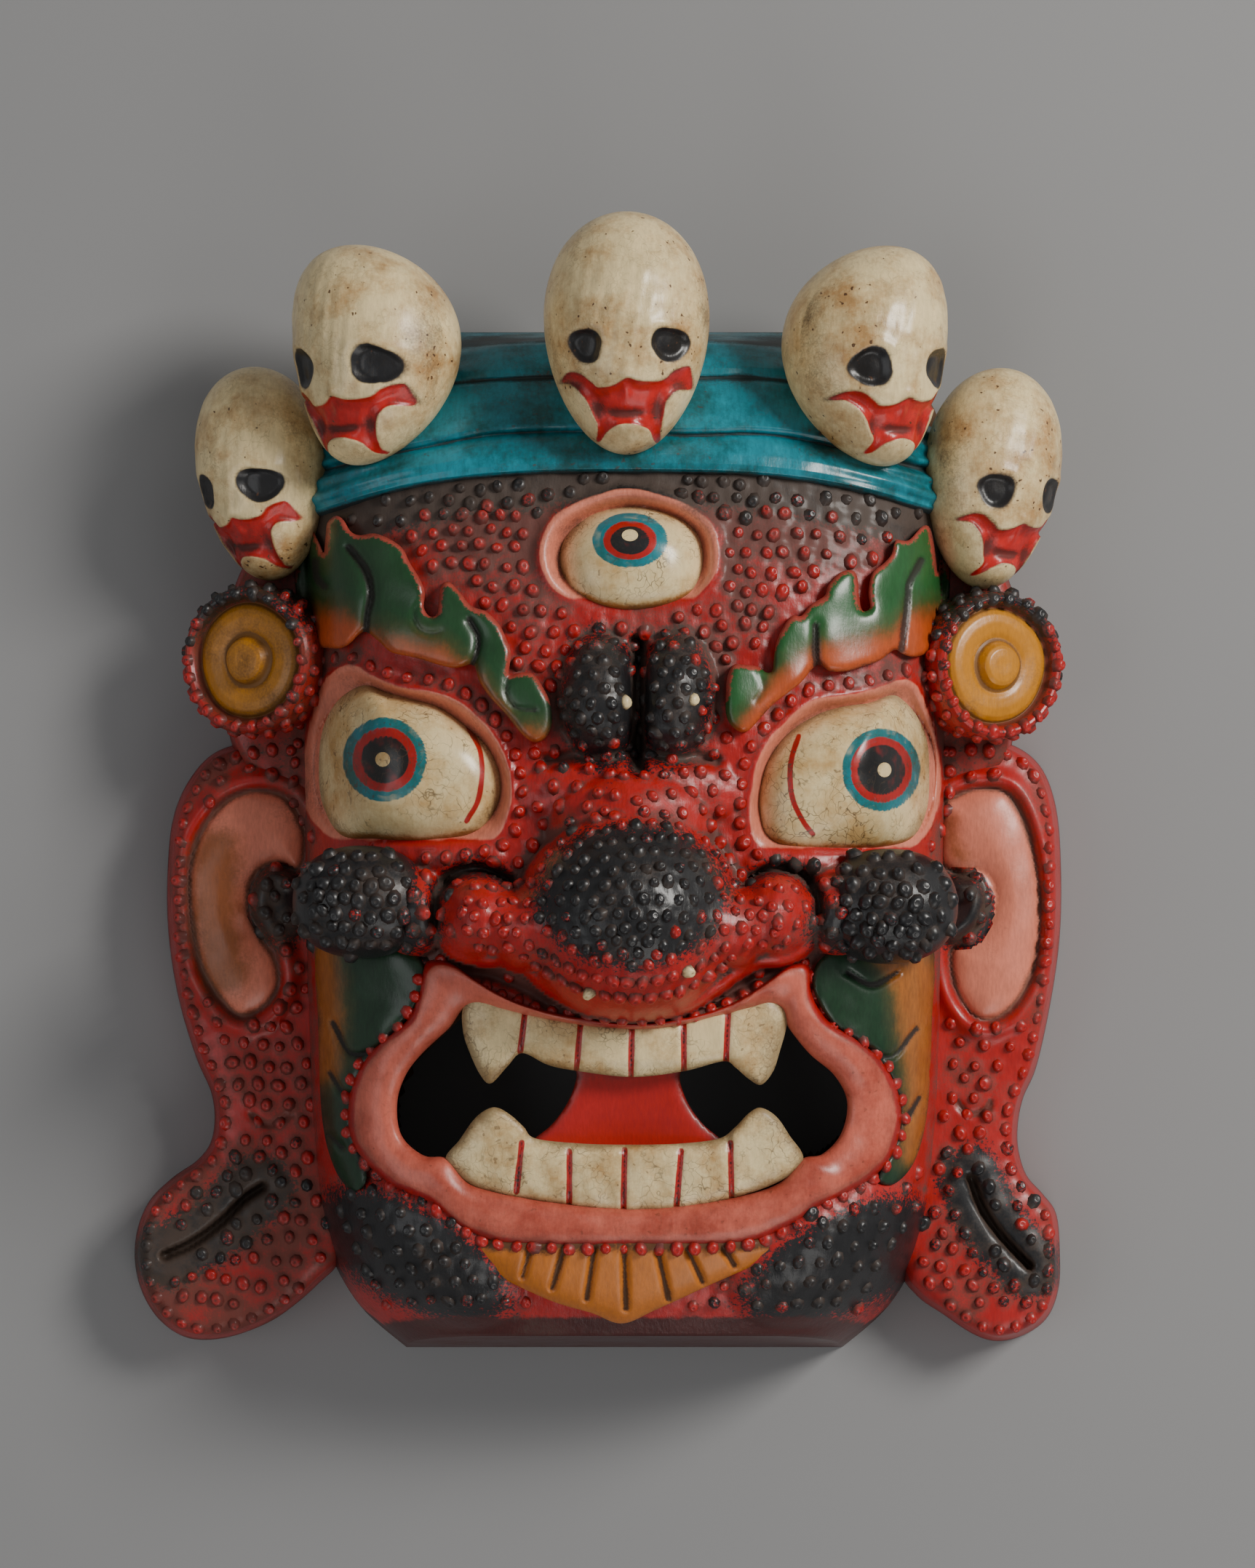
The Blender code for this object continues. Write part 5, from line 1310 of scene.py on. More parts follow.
def build_eyes():
    """The eyeballs: domes over their outlines, risen by a quarter ellipse, with painted rings round the iris."""
    for name, eye in EYES.items():
        edge = curve(eye["ball"], 1.1)
        edge = edge if is_leftwards(edge) else edge[::-1]
        middle = (edge.min(0) + edge.max(0)) / 2
        shares = np.concatenate([[1.0, 1.0], np.sin(np.linspace(math.pi / 2, 0, 46))[1:-1]])[:, None]
        line = middle + (edge - middle) * shares[..., None]
        ground = arch(*edge.T) * shares**2 + arch(*middle[:, None])[0] * (1 - shares**2)
        rise = eye["bulge"] * np.clip(1 - shares**2.2, 0, 1) ** 0.62
        z = ground - sunk(eye, edge[:, 1]) * shares**4 + rise - 0.3
        z[0] -= BALL_FOOT
        tips = np.array([[*middle, z[-1].mean() + 0.02], [*middle, z[0].min()]])
        points = np.vstack([np.concatenate([line, z[..., None]], axis=-1).reshape(-1, 3), tips])
        places = points[:, :2]
        sill = ease(places[:, 1], eye["sill"][0] + 5.0, eye["sill"][0] + 11.0)
        # Darker round the ball's foot, where it meets the socket: dust and painted shade.
        dirt_and_shade = np.concatenate([np.repeat(np.clip((shares - 0.86) * 7, 0, 1), len(edge)), [0, 1]])
        layers = {
            "iris": iris_value(places, eye),
            "vein": 0.85 - gap_to(places, eye["vein"]) if eye["vein"] else np.full(len(points), -FAR),
            "hollow": dirt_and_shade * 0.8,
            "stain": 1.5 - distance_to(places, edge, True) - 6.0 * sill,
        }
        foot, count = np.arange(len(edge)), len(edge)
        top = fan(foot + (len(shares) - 1) * count, len(points) - 2)[:, ::-1]
        faces = [grid_faces(len(shares), count, True), top, fan(foot, len(points) - 1)]
        mesh_piece(f"{name}_eye", points, faces, layers, "eye paint", "bone_paint")


def turned(points, yaw, lean):
    """Points turned to the side about the upright axis, then leaned over in the front view."""
    a, b = math.radians(yaw), math.radians(lean)
    x, y, z = np.moveaxis(points, -1, 0)
    x, z = x * math.cos(a) + z * math.sin(a), z * math.cos(a) - x * math.sin(a)
    return np.stack([x * math.cos(b) - y * math.sin(b), x * math.sin(b) + y * math.cos(b), z], axis=-1)


def skull_holes(name, x, y, semi, yaw):
    """How far into an eye socket a place of a skull's front lies: uneven rounds, negative outside."""
    hole = np.full(x.shape, -SKULL_FAR)
    for (cx, cy), (rx, ry) in SKULL_SOCKETS:
        dx = (x - cx * semi[0]) / (rx * SOCKET_SIZE[name])
        dy = (y - cy * semi[1]) / (ry * SOCKET_SIZE[name])
        bearing = np.arctan2(dy, dx)
        wavy = 1 + 0.09 * np.sin(2 * bearing + 4 * cx) + 0.06 * np.sin(3 * bearing + cx + yaw)
        hole = np.maximum(hole, (1 - np.hypot(dx, dy) / wavy) * min(rx, ry))
    return hole


def build_skulls():
    """The skulls: eggs fuller in the cranium than in the jaw, with socket hollows and a bat-shaped mouth cut in."""
    rows, columns = 150, 170
    up = np.sin(np.linspace(-1, 1, rows + 2)[1:-1] * math.pi / 2)[:, None] * 0.9995
    front = np.linspace(-1, 1, columns + 1)[:-1]
    around = math.pi * signed(front, 1.35) + math.pi / 2
    width = np.sqrt(1 - up**2) * (1 + SKULL_TAPER * up)
    across, ahead = np.cos(around) * width, np.sin(around) * width
    facing, up = ahead > 0, np.broadcast_to(up, across.shape)
    for name, (place, height, semi, yaw, lean, bow) in SKULLS.items():
        x, y = across * semi[0], up * semi[1]
        mouth_line = curve(np.array(SKULL_MOUTH) * [semi[0], semi[1]], 0.5)
        mouth = np.where(facing, depth_in(pairs(x, y), mouth_line, SKULL_FAR), -SKULL_FAR)
        hole = np.where(facing, skull_holes(name, x, y, semi, yaw), -SKULL_FAR)
        sx, sy = x / semi[0], y / semi[1]
        slit = np.exp(-((sx / 0.26) ** 4) - ((sy + 0.665 - 0.3 * sx**2) / 0.045) ** 2)
        legs = spot(np.abs(sx) - 0.38, sy + 0.64, 0.09, 0.11)
        corners = spot(np.abs(sx) - 0.66, sy + 0.44, 0.12, 0.05)
        ridge = spot(sx, sy + 0.47, 0.07, 0.09)
        cut = 2.6 * ease(hole, -0.4, 2.2) + 1.9 * ease(mouth, -0.35, 0.8) + 1.6 * ease(mouth, 0.3, 3.4)
        cut = cut + ease(mouth, 0.0, 1.0) * (1.6 * slit + 1.5 * legs + 0.9 * corners - 1.3 * ridge)
        nose, chin = spot(x, sy + 0.33, 3.6, 0.06) * facing, spot(x, sy + 0.84, 7.0, 0.09) * facing
        brow = bell(hole + 1.6, 1.4) * ease(sy, -0.15, 0.1) * facing
        swell = 1.0 + (1.2 * nose + 1.0 * chin + 0.5 * brow - cut + 0.22 * ripple(x, y, 7.0, 31)) / semi[2]
        deep = ahead * semi[2] * np.where(facing, swell, 1.0)
        points = turned(np.stack([x * (1 + (swell - 1) * 0.25), y, deep], axis=-1), yaw, 0.0)
        points[..., 0] += bow * (points[..., 1] / semi[1]) ** 2
        points = turned(points, 0.0, lean) + np.array([*place, height])
        points[..., 2] = np.maximum(points[..., 2], 0.4)
        # Darker along the cut edges and towards the skull's sides, and painted shade deep in the mouth's slit, legs and
        # corners.
        stain = 0.45 * bell(np.minimum(np.abs(mouth), np.abs(hole)), 0.6)
        stain = stain + ease(mouth, 0.0, 1.0) * (1.1 * slit + 0.9 * legs + 0.6 * corners)
        stain = stain + 0.35 * ease(np.abs(sx), 0.75, 1.0) * facing
        values = (("socket", hole, -SKULL_FAR), ("mouth", mouth, -SKULL_FAR), ("hollow", stain, 0.0))
        layers = {key: np.append(value.ravel(), [at_tips] * 2) for key, value, at_tips in values}
        mesh_piece(f"{name}_skull", *capped(points), layers, "bone paint", "bone_paint")


def ear_height(ear, x, y, d):
    """The ear's front: a plate rounded at its edge, a raised rim round a shallow dome, a lump, a slit and a crease."""
    xy = pairs(x, y)
    oval, slit, crease = depth(xy, ear["oval"]), gap_to(xy, ear["slit"]), gap_to(xy, ear["crease"])
    middle, half, lean = ear["comma"]
    height = EAR_THICKNESS - 3.2 * np.exp(-np.clip(d, 0, 99) / 2.6)
    height = height + 3.0 * bell(oval + 3.6, 2.8) - 1.6 * bell(oval, 0.8)
    height = height + np.where(oval > 0, 4.4 * (1 - np.exp(-oval / 4.5)), 0)
    height = height + bump_over(x, y, (middle, half, 7.0, 0.6, lean))
    height = height + 0.9 * bell(slit - 5.0, 3.0) - 8.0 * (1 - ease(slit, 0.3, 2.0))
    return height - 1.6 * bell(crease, 1.0) + 0.2 * ripple(x, y, 12.0, 17)


def ear_black(ear, x, y, margin, slope):
    """How far into the ear's black paint a place lies: round the slit, and on the lump."""
    (cx, cy), (sx, sy), _ = ear["comma"]
    lump = (1 - np.hypot((x - cx) / (sx + margin), (y - cy) / (sy + margin))) * slope
    return np.maximum(10.5 - gap_to(pairs(x, y), ear["slit"]), lump)


def ear_dust_and_shade(ear, x, y, side):
    """Dust in the cuts of an ear, and painted shade over the left ear, darker towards its lobe."""
    xy = pairs(x, y)
    oval, slit, crease = depth(xy, ear["oval"]), gap_to(xy, ear["slit"]), gap_to(xy, ear["crease"])
    cuts = bell(oval, 1.0) * 0.7 + 1.2 * (1 - ease(slit, 0.6, 2.6)) + 0.9 * (1 - ease(crease, 0.3, 1.6))
    # Painted shade: the left ear darker all over, and darker still towards its lobe.
    grime_and_shade = 0.34 + 0.2 * ease(-y, 90.0, 140.0) if side == "left" else 0.2
    return np.clip(cuts, 0, 1) + grime_and_shade - 0.22 * ease(oval, 0.5, 2.5)


def build_ears():
    """The ears, as plates with their carving, and the plain wood behind ear drums and skulls."""

    def back(x, y):
        return np.zeros_like(x)

    for side, ear in EARS.items():
        def black(x, y, d):
            return ear_black(ear, x, y, 1.5, 8)

        def oval(x, y, d):
            return np.where(d > 0, depth(pairs(x, y), ear["oval"]), -9.0) - 9.0 * (black(x, y, d) > 0.5)

        layers = {
            "black": black,
            "stain": lambda x, y, d: ear["stain_width"] - gap_to(pairs(x, y), ear["stain"]),
            "oval": oval,
            "hollow": lambda x, y, d: ear_dust_and_shade(ear, x, y, side),
        }
        plate_piece(
            f"{side}_ear", ear["outline"], 1.1, lambda x, y, d: ear_height(ear, x, y, d), back, layers, "ear paint",
            "red_paint", 2.0,
        )
        plain = {
            key: lambda x, y, d, value=value: 0 * x + value
            for key, value in (("black", -2.0), ("stain", -9.0), ("oval", -9.0), ("hollow", 0.5))
        }
        plate_piece(
            f"{side}_web", WEBS[side], 2.0, lambda x, y, d: WEB_HEIGHT - 2.0 * np.exp(-d / 3.0), back, plain,
            "ear paint", "red_paint", 1.5,
        )


def drum_point(side, radius, height, turn):
    """A point of an ear drum: a profile turned about an axis that looks outwards."""
    place, z, yaw = DRUMS[side]
    ring = np.stack(
        np.broadcast_arrays(radius * np.cos(turn), radius * np.sin(turn), height + 0 * turn), axis=-1
    )
    return turned(ring, yaw, 0.0) + np.array([*place, z])


def build_drums():
    """The ear drums: a turned profile with a boss, a sunk ring and a rounded studded rim."""
    steps = np.linspace(0, len(DRUM_PROFILE) - 1, 110)[1:-1]
    lines = (np.interp(steps, np.arange(len(DRUM_PROFILE)), values) for values in np.array(DRUM_PROFILE).T)
    radius, height = (line[:, None] for line in lines)
    turn = np.linspace(0, math.tau, 145)[:-1]
    wobble = 1 + 0.012 * np.sin(turn * 3 + 1.0) + 0.008 * np.sin(turn * 5)
    top = ease(np.sin(turn), 0.15, 0.75) * ease(radius, 18.4, 19.6)
    # The left drum is darker all over than the right: painted shade, as on the left ear.
    for side, dirt_and_shade in (("left", 0.4), ("right", 0.22)):
        points = drum_point(side, radius * wobble, height, turn)
        points[..., 2] = np.maximum(points[..., 2], 0.5)
        values = {
            "black": top * 4.0 - 2.0,
            "disc": DISC_RADIUS - radius + 0 * turn + np.where(height < -3, -20, 0),
            "hollow": bell(radius - 18.6, 0.9) + 0.8 * bell(radius - 8.2, 0.8) + dirt_and_shade + 0 * turn,
        }
        layers = {key: np.append(value.ravel(), [0.0, 0.0]) for key, value in values.items()}
        mesh_piece(f"{side}_drum", *capped(points), layers, "drum paint", "ochre_paint")


def inwardness(x, middle):
    """How far a place lies from a ball's middle towards the midline of the mask."""
    return (x - middle[0]) * (1 if middle[0] < 0 else -1)


def build_cheeks():
    """The cheek balls: ellipsoids half sunk in the face."""
    up = np.sin(np.linspace(-1, 1, 66)[1:-1] * math.pi / 2)[:, None]
    turn = np.linspace(0, math.tau, 101)[:-1]
    girth = np.sqrt(1 - up**2) ** 0.9
    wide, deep = (signed(value, CHEEK_FULLNESS) for value in (np.cos(turn), np.sin(turn)))
    for side, middle, semi in CHEEKS:
        high = semi[1] * np.sign(up) * np.abs(up) ** 0.92 + 0 * turn
        ball = np.stack([semi[0] * girth * wide, high, semi[2] * girth * deep], axis=-1)
        points, faces = capped(ball + np.array(middle))
        level = np.ones(len(points))
        layers = {
            "black": 12.0 - np.clip(inwardness(points[:, 0], middle) - 6, 0, 40),
            "lid": -9.0 * level,
            "under": -9.0 * level,
            "hollow": 0.12 * level,
        }
        mesh_piece(f"{side}_cheek", points, faces, layers, "red paint", "black_paint")


def stud_rows(step, seed):
    """Points in staggered rows that bend a little, as a carver would set them, with a small jitter."""
    rng = np.random.default_rng(seed)
    rows = np.arange(-182, 106, step * 0.88)
    x, y = np.meshgrid(np.arange(-160, 144, step), rows)
    x = x + np.where(np.arange(len(rows)) % 2, step / 2, 0)[:, None]
    bend = 0.35 * step * pairs(ripple(x, y, 46.0, seed + 1), ripple(x, y, 52.0, seed + 2))
    return (pairs(x, y) + bend + rng.normal(0, 0.075 * step, x.shape + (2,))).reshape(-1, 2)


def off_the_paint(xy):
    """Which points lie on the studded ground of the face: on the block, clear of eyes, brows, lips and leaves."""
    x, y = xy.T
    half = section(np.clip(y, CHIN, CROWN))[0]
    face = (np.abs(x - FACE_MIDDLE) < half - 2.5) & (y > UNDERSIDE + 3.0) & (y < turban_edge(x) - 2.0)
    drawings = [(eye["lid"], LID_STEP, 2.2) for eye in EYES.values()]
    drawings += [(brow["outline"], 1.0, 2.4) for brow in BROWS.values()]
    drawings += [(leaf["outline"], 1.0, 0.8) for leaf in LEAVES.values()]
    for outline, step, clear in drawings + [(LIPS_OUTER, 1.0, 2.6), (BEARD, 1.0, 1.2)]:
        face &= depth(xy, outline, step) < -clear
    face &= gap_to(xy, NOSTRIL_RIM) > 2.3
    for path, width, _, _ in CREVICES[:2]:
        face &= gap_to(xy, path) > width
    return face


def in_balls(xy, scale=1.0):
    """Which points lie on the cheek balls, and which on any closely studded form."""
    cheek = np.zeros(len(xy), bool)
    for _, middle, semi in CHEEKS:
        across, up = np.abs((xy[:, 0] - middle[0]) / semi[0]), np.abs((xy[:, 1] - middle[1]) / semi[1])
        cheek |= (across**2.5 + up**2.2) < scale
    close = cheek.copy()
    for form in FORMS[:1] + FORMS[3:9]:
        close |= bump_over(*xy.T, form) > 0
    return cheek, close


def on_ears(xy):
    """Which points lie on the studded ground of the ears: off oval, slit and face, and on the black lump."""
    x, y = xy.T
    ears = np.zeros(len(xy), bool)
    for ear in EARS.values():
        (cx, cy), (sx, sy), _ = ear["comma"]
        on = (depth(xy, ear["outline"]) > 2.0) & (depth(xy, ear["oval"]) < -2.4)
        on |= np.hypot((x - cx) / sx, (y - cy) / sy) < 1.0
        ears |= on & (gap_to(xy, ear["slit"]) > 3.6)
    return ears & (np.abs(x - FACE_MIDDLE) > section(np.clip(y, CHIN, CROWN))[0] + 1)


def outwards(line, middle, step):
    """A line moved away from a middle by a step."""
    away = line - middle
    return line + away / np.linalg.norm(away, axis=1, keepdims=True) * step


def rim_lines():
    """Lines of studs along eyes, lips, the foot of the nose and the ears, off the cheek balls and the brows."""
    lines = []
    for side in ("left", "right"):
        line = curve(EYES[side]["lid"], 5.8)
        lines.append(outwards(line, line.mean(0), 3.2))
    lines.append(outwards(curve(LIPS_OUTER, 5.6), np.array([0, -103]), 0.9))
    foot = curve(BULB_FOOT, 4.9, False)
    lines += [foot, (foot[1:] + foot[:-1]) / 2 + [0.0, 5.0]]
    for ear in EARS.values():
        line = curve(ear["outline"], 6.1)
        along = np.roll(line, -1, 0) - np.roll(line, 1, 0)
        inset = np.column_stack([along[:, 1], -along[:, 0]]) / np.linalg.norm(along, axis=1, keepdims=True) * 1.7
        line = np.where((depth(line + inset, ear["outline"]) > 0)[:, None], line + inset, line - inset)
        lines.append(line[np.abs(line[:, 0]) > 102.5])
    lines = np.vstack(lines)
    lines = lines[~in_balls(lines, 1.1)[0]]
    for brow in BROWS.values():
        lines = lines[depth(lines, brow["outline"]) < -1.8]
    return lines


def stud_places():
    """Where studs stand in the front view, and their sizes: rows over the ground, closer on balls, lines on rims."""
    step = bpy.context.scene.mask_studs.spacing / UNIT
    wide, close = stud_rows(step, 12), stud_rows(0.78 * step, 31)
    wide = wide[(off_the_paint(wide) | on_ears(wide)) & ~in_balls(wide, 1.2)[1]]
    cheek, dense = in_balls(close, 0.98)
    close = close[cheek | (dense & off_the_paint(close))]
    lines = rim_lines()
    grid = np.vstack([wide, close])
    grid = grid[np.linalg.norm(grid[:, None] - lines[None], axis=2).min(1) > step * 0.7]
    spots = np.vstack([grid, lines])
    foot = (np.abs(spots[:, 0] - 1.0) < 34) & (spots[:, 1] < -58.0) & (spots[:, 1] > -70.5)
    cheek, dense = in_balls(spots, 1.1)
    return spots, np.where(foot | cheek, 1.12, np.where(dense, 0.94, 1.0))


def stud_black(view):
    """How black a stud is painted, by its place in the front view."""
    x, y = view.T
    black, cheek = blackness(np.clip(x, -100, 98), y), in_balls(view, 1.25)[0]
    for _, middle, _ in CHEEKS:
        inside = cheek & (np.sign(x) == np.sign(middle[0]))
        black = np.where(inside, 9.0 - np.clip(inwardness(x, middle) - 8, 0, 40), black)
    off = np.abs(x - FACE_MIDDLE) > 101.5
    for ear in EARS.values():
        mine = off & (np.sign(x) == np.sign(ear["comma"][0][0])) & ~cheek
        black = np.where(mine, ear_black(ear, x, y, 2, 9), black)
    return black


def settle_ground(hosts, spots, reach):
    """The ground round each stud rises a little to its foot and is darkened there, as dust and painted shade: both fall
    off with distance.
    """
    for host in hosts:
        mesh = host.data
        places, normals = (np.empty(3 * len(mesh.vertices), np.float32) for _ in range(2))
        mesh.vertices.foreach_get("co", places)
        mesh.vertices.foreach_get("normal", normals)
        places, normals = places.reshape(-1, 3), normals.reshape(-1, 3)
        gap = np.full(len(places), 1.0, np.float32)
        for part in np.array_split(np.arange(len(places)), len(places) // 4000 + 1):
            square = (places[part] ** 2).sum(1)[:, None] + (spots**2).sum(1)[None] - 2 * places[part] @ spots.T
            gap[part] = np.sqrt(np.clip(square.min(1), 0, None))
        near = bell(gap, 1.15 * reach)
        mesh.vertices.foreach_set("co", (places + normals * (near * 0.2 * reach)[:, None]).ravel())
        dust = mesh.attributes["hollow"].data
        hollow = np.empty(len(places), np.float32)
        dust.foreach_get("value", hollow)
        # A darker ring on the ground round each stud's foot: dust and painted shade.
        dust.foreach_set("value", np.clip(hollow + 0.28 * bell(gap - 1.12 * reach, 0.45 * reach), 0, 1.4))
        mesh.update()


def landed_studs(hosts):
    """A row for each stud: its foot, the normal there, its place in the front view and its size."""
    depsgraph = bpy.context.evaluated_depsgraph_get()
    trees = [BVHTree.FromObject(host, depsgraph) for host in hosts]
    eye_point = Vector(placed([[0, 0, PICTURE_PLANE + VIEW_DISTANCE - 0.001]])[0])
    view, small = stud_places()
    aims = placed(np.column_stack([view, np.full(len(view), PICTURE_PLANE)]))
    found = []
    for k, aim in enumerate(aims):
        ray = (Vector(aim) - eye_point).normalized()
        casts = (tree.ray_cast(eye_point, ray) for tree in trees)
        hits = [(away, *place, *normal) for place, normal, _, away in casts if place is not None]
        if hits and min(hits)[6] > 0.1:
            found.append((*min(hits)[1:], *view[k], small[k]))
    for side in DRUMS:
        for radius, height, offset, tilt in DRUM_STUDS:
            turn = np.linspace(0, math.tau, DRUM_STUD_COUNT + 1)[:-1] + offset
            centre = placed(drum_point(side, radius, height, turn))
            outer = placed(drum_point(side, radius + math.sin(tilt) + 0.02, height + math.cos(tilt), turn))
            normal = (outer - centre) / np.linalg.norm(outer - centre, axis=1, keepdims=True)
            found += np.column_stack([centre, normal, 0 * turn + DRUM_MARK, np.sin(turn), 0 * turn + 0.92]).tolist()
    return np.array(found)


def build_studs():
    """The studs: small domes with a dented tip, dropped onto the carving along the line of sight."""
    rng = np.random.default_rng(7)
    hosts = [bpy.data.objects[name] for name in STUD_HOSTS]
    table = landed_studs(hosts)
    spots, normals, view, small = table[:, :3], table[:, 3:6], table[:, 6:8], table[:, 8]
    settings, count = bpy.context.scene.mask_studs, len(table)
    settle_ground(hosts, spots.astype(np.float32), settings.width / 2)
    size = settings.width / 2 * small * rng.uniform(0.86, 1.14, count)
    tall = settings.height * small * rng.uniform(0.8, 1.2, count)
    across = np.cross(normals, [0.0, 1.0, 0.13])
    across /= np.linalg.norm(across, axis=1, keepdims=True)
    upward = np.cross(normals, across)
    spin = rng.normal(0, 0.5, count)[:, None] + math.pi / 2
    first = across * np.cos(spin) + upward * np.sin(spin)
    second = upward * np.cos(spin) - across * np.sin(spin)
    long = rng.uniform(1.0, 1.28, count)
    turn = np.linspace(0, math.tau, STUD_SIDES + 1)[:-1]
    radius, lift = np.array(STUD_PROFILE[:-1]).T
    lean = rng.normal(0, 0.2, (count, 2))
    plan = pairs(np.cos(turn) * long[:, None], np.broadcast_to(np.sin(turn), (count, STUD_SIDES)))
    plan = plan[:, None] * radius[:, None, None]
    plan = (plan + lean[:, None, None] * np.clip(lift, 0, 1)[:, None, None]) * size[:, None, None, None]
    rise = (lift * tall[:, None])[..., None, None] * normals[:, None, None]
    sideways = spots[:, None, None] + plan[..., :1] * first[:, None, None] + plan[..., 1:] * second[:, None, None]
    tips = spots + normals * (STUD_PROFILE[-1][1] * tall)[:, None]
    tips = tips + first * (lean[:, :1] * size[:, None]) + second * (lean[:, 1:] * size[:, None])
    verts = np.concatenate([(sideways + rise).reshape(count, -1, 3), tips[:, None]], axis=1).reshape(-1, 3)
    rings, each = len(radius), len(radius) * STUD_SIDES + 1
    starts = (np.arange(count) * each)[:, None, None]
    quads = grid_faces(rings, STUD_SIDES, True)[None] + starts
    tris = fan(np.arange(STUD_SIDES) + (rings - 1) * STUD_SIDES, each - 1)[:, ::-1][None] + starts

    x, y = view.T
    on_drum = x > DRUM_MARK - 100
    black = np.where(on_drum, y * 9 - 3.0, stud_black(view)) + rng.normal(0, 3.0, count)
    # Painted shade: darker round each stud's foot and in its dented tip, and the studs on the left ear darker still;
    # darker up the forehead too.
    shade = np.concatenate([np.repeat([0.85, 0.45, 0.05, 0.05], STUD_SIDES), [0.35]])
    grime_and_shade = np.where(on_drum, 0.15, 0.1 + 0.14 * ease(y, 0.0, 50.0) + 0.2 * ease(y, 62.0, 96.0)) + 0.22 * (x < -104)
    chip = np.full((count, each), -1.0)
    chip[np.linalg.norm(view[:, None] - np.array(CHIPS)[None], axis=2).argmin(0), STUD_SIDES:] = 0.35
    layers = {
        "black": np.repeat(black, each),
        "hollow": np.tile(shade, count) + np.repeat(grime_and_shade, each),
        "chip": chip.ravel(),
    }
    mesh_piece("studs", drawn(verts), [quads.reshape(-1, 4), tris.reshape(-1, 3)], layers, "red studs", "red_paint")


def build_stage():
    """A pale floor, soft studio light from the upper right, and the camera straight above the mask."""
    scene = bpy.context.scene
    floor = bpy.data.meshes.new("floor")
    x, y = np.meshgrid(np.linspace(-FLOOR_SIZE, FLOOR_SIZE, 3), np.linspace(-FLOOR_SIZE, FLOOR_SIZE, 3))
    corners = np.stack([x, y, 0 * x - FLOOR_GAP], axis=-1).reshape(-1, 3)
    floor.from_pydata(corners.tolist(), [], grid_faces(3, 3).tolist())
    ground = bpy.data.objects.new("floor", floor)
    scene.collection.objects.link(ground)
    paper = bpy.data.materials.new("floor paper")
    paper.use_nodes = True
    shader = paper.node_tree.nodes["Principled BSDF"].inputs
    shader["Base Color"].default_value = tuple(scene.mask_stage.floor) + (1.0,)
    shader["Roughness"].default_value = 0.8
    floor.materials.append(paper)

    for name, place, width, share, tint in LAMPS:
        lamp = bpy.data.lights.new(name, "AREA")
        lamp.energy, lamp.size, lamp.color = scene.mask_stage.light * share, width, tint
        holder = bpy.data.objects.new(name, lamp)
        way = Vector(LAMP_AIM) - Vector(place)
        holder.matrix_world = Matrix.Translation(place) @ way.to_track_quat("-Z", "Y").to_matrix().to_4x4()
        scene.collection.objects.link(holder)
    world = bpy.data.worlds.new("studio")
    world.use_nodes = True
    world.node_tree.nodes["Background"].inputs[0].default_value = (0.95, 0.95, 0.95, 1.0)
    world.node_tree.nodes["Background"].inputs[1].default_value = 0.25
    scene.world = world

    camera = bpy.data.objects.new("camera", bpy.data.cameras.new("camera"))
    camera.location = placed([[0.0, 0.0, PICTURE_PLANE]])[0] + np.array([0, 0, VIEW_DISTANCE * UNIT])
    camera.data.sensor_width = LENS_SIDE
    camera.data.lens = LENS_SIDE * VIEW_DISTANCE / PICTURE_HEIGHT
    camera.data.clip_end = 20.0
    scene.collection.objects.link(camera)
    scene.camera = camera


# The add-on


class MASK_OT_paints(bpy.types.Operator):
    """Make every paint of the mask"""

    bl_idname = "mask.paints"
    bl_label = "Mix the paints"
    bl_options = {"REGISTER", "UNDO"}

    def execute(self, context):
        build_materials()
        return {"FINISHED"}


class MASK_OT_face(bpy.types.Operator):
    """Build the face with nose, frown, jaws and eye sockets"""

    bl_idname = "mask.face"
    bl_label = "Carve the face"
    bl_options = {"REGISTER", "UNDO"}

    def execute(self, context):
        build_face()
        return {"FINISHED"}


class MASK_OT_turban(bpy.types.Operator):
    """Build the folded turban over the crown"""

    bl_idname = "mask.turban"
    bl_label = "Wind the turban"
    bl_options = {"REGISTER", "UNDO"}

    def execute(self, context):
        build_turban()
        return {"FINISHED"}


class MASK_OT_back(bpy.types.Operator):
    """Build the hollow and the flat rim of the back"""

    bl_idname = "mask.back"
    bl_label = "Hollow the back"
    bl_options = {"REGISTER", "UNDO"}

    def execute(self, context):
        build_back()
        return {"FINISHED"}


class MASK_OT_lips(bpy.types.Operator):
    """Build the band of the lips round the mouth"""

    bl_idname = "mask.lips"
    bl_label = "Carve the lips"
    bl_options = {"REGISTER", "UNDO"}

    def execute(self, context):
        build_lips()
        return {"FINISHED"}


class MASK_OT_teeth(bpy.types.Operator):
    """Build both rows of teeth and the tongue"""

    bl_idname = "mask.teeth"
    bl_label = "Set the teeth"
    bl_options = {"REGISTER", "UNDO"}

    def execute(self, context):
        build_teeth()
        return {"FINISHED"}


class MASK_OT_brows(bpy.types.Operator):
    """Build the two leaf-like brows"""

    bl_idname = "mask.brows"
    bl_label = "Raise the brows"
    bl_options = {"REGISTER", "UNDO"}

    def execute(self, context):
        build_brows()
        return {"FINISHED"}


class MASK_OT_beard(bpy.types.Operator):
    """Build the beard and the leaf strips"""

    bl_idname = "mask.beard"
    bl_label = "Cut beard and leaves"
    bl_options = {"REGISTER", "UNDO"}

    def execute(self, context):
        build_beard_and_leaves()
        return {"FINISHED"}


class MASK_OT_eyes(bpy.types.Operator):
    """Build the three eyeballs"""

    bl_idname = "mask.eyes"
    bl_label = "Set the eyes"
    bl_options = {"REGISTER", "UNDO"}

    def execute(self, context):
        build_eyes()
        return {"FINISHED"}


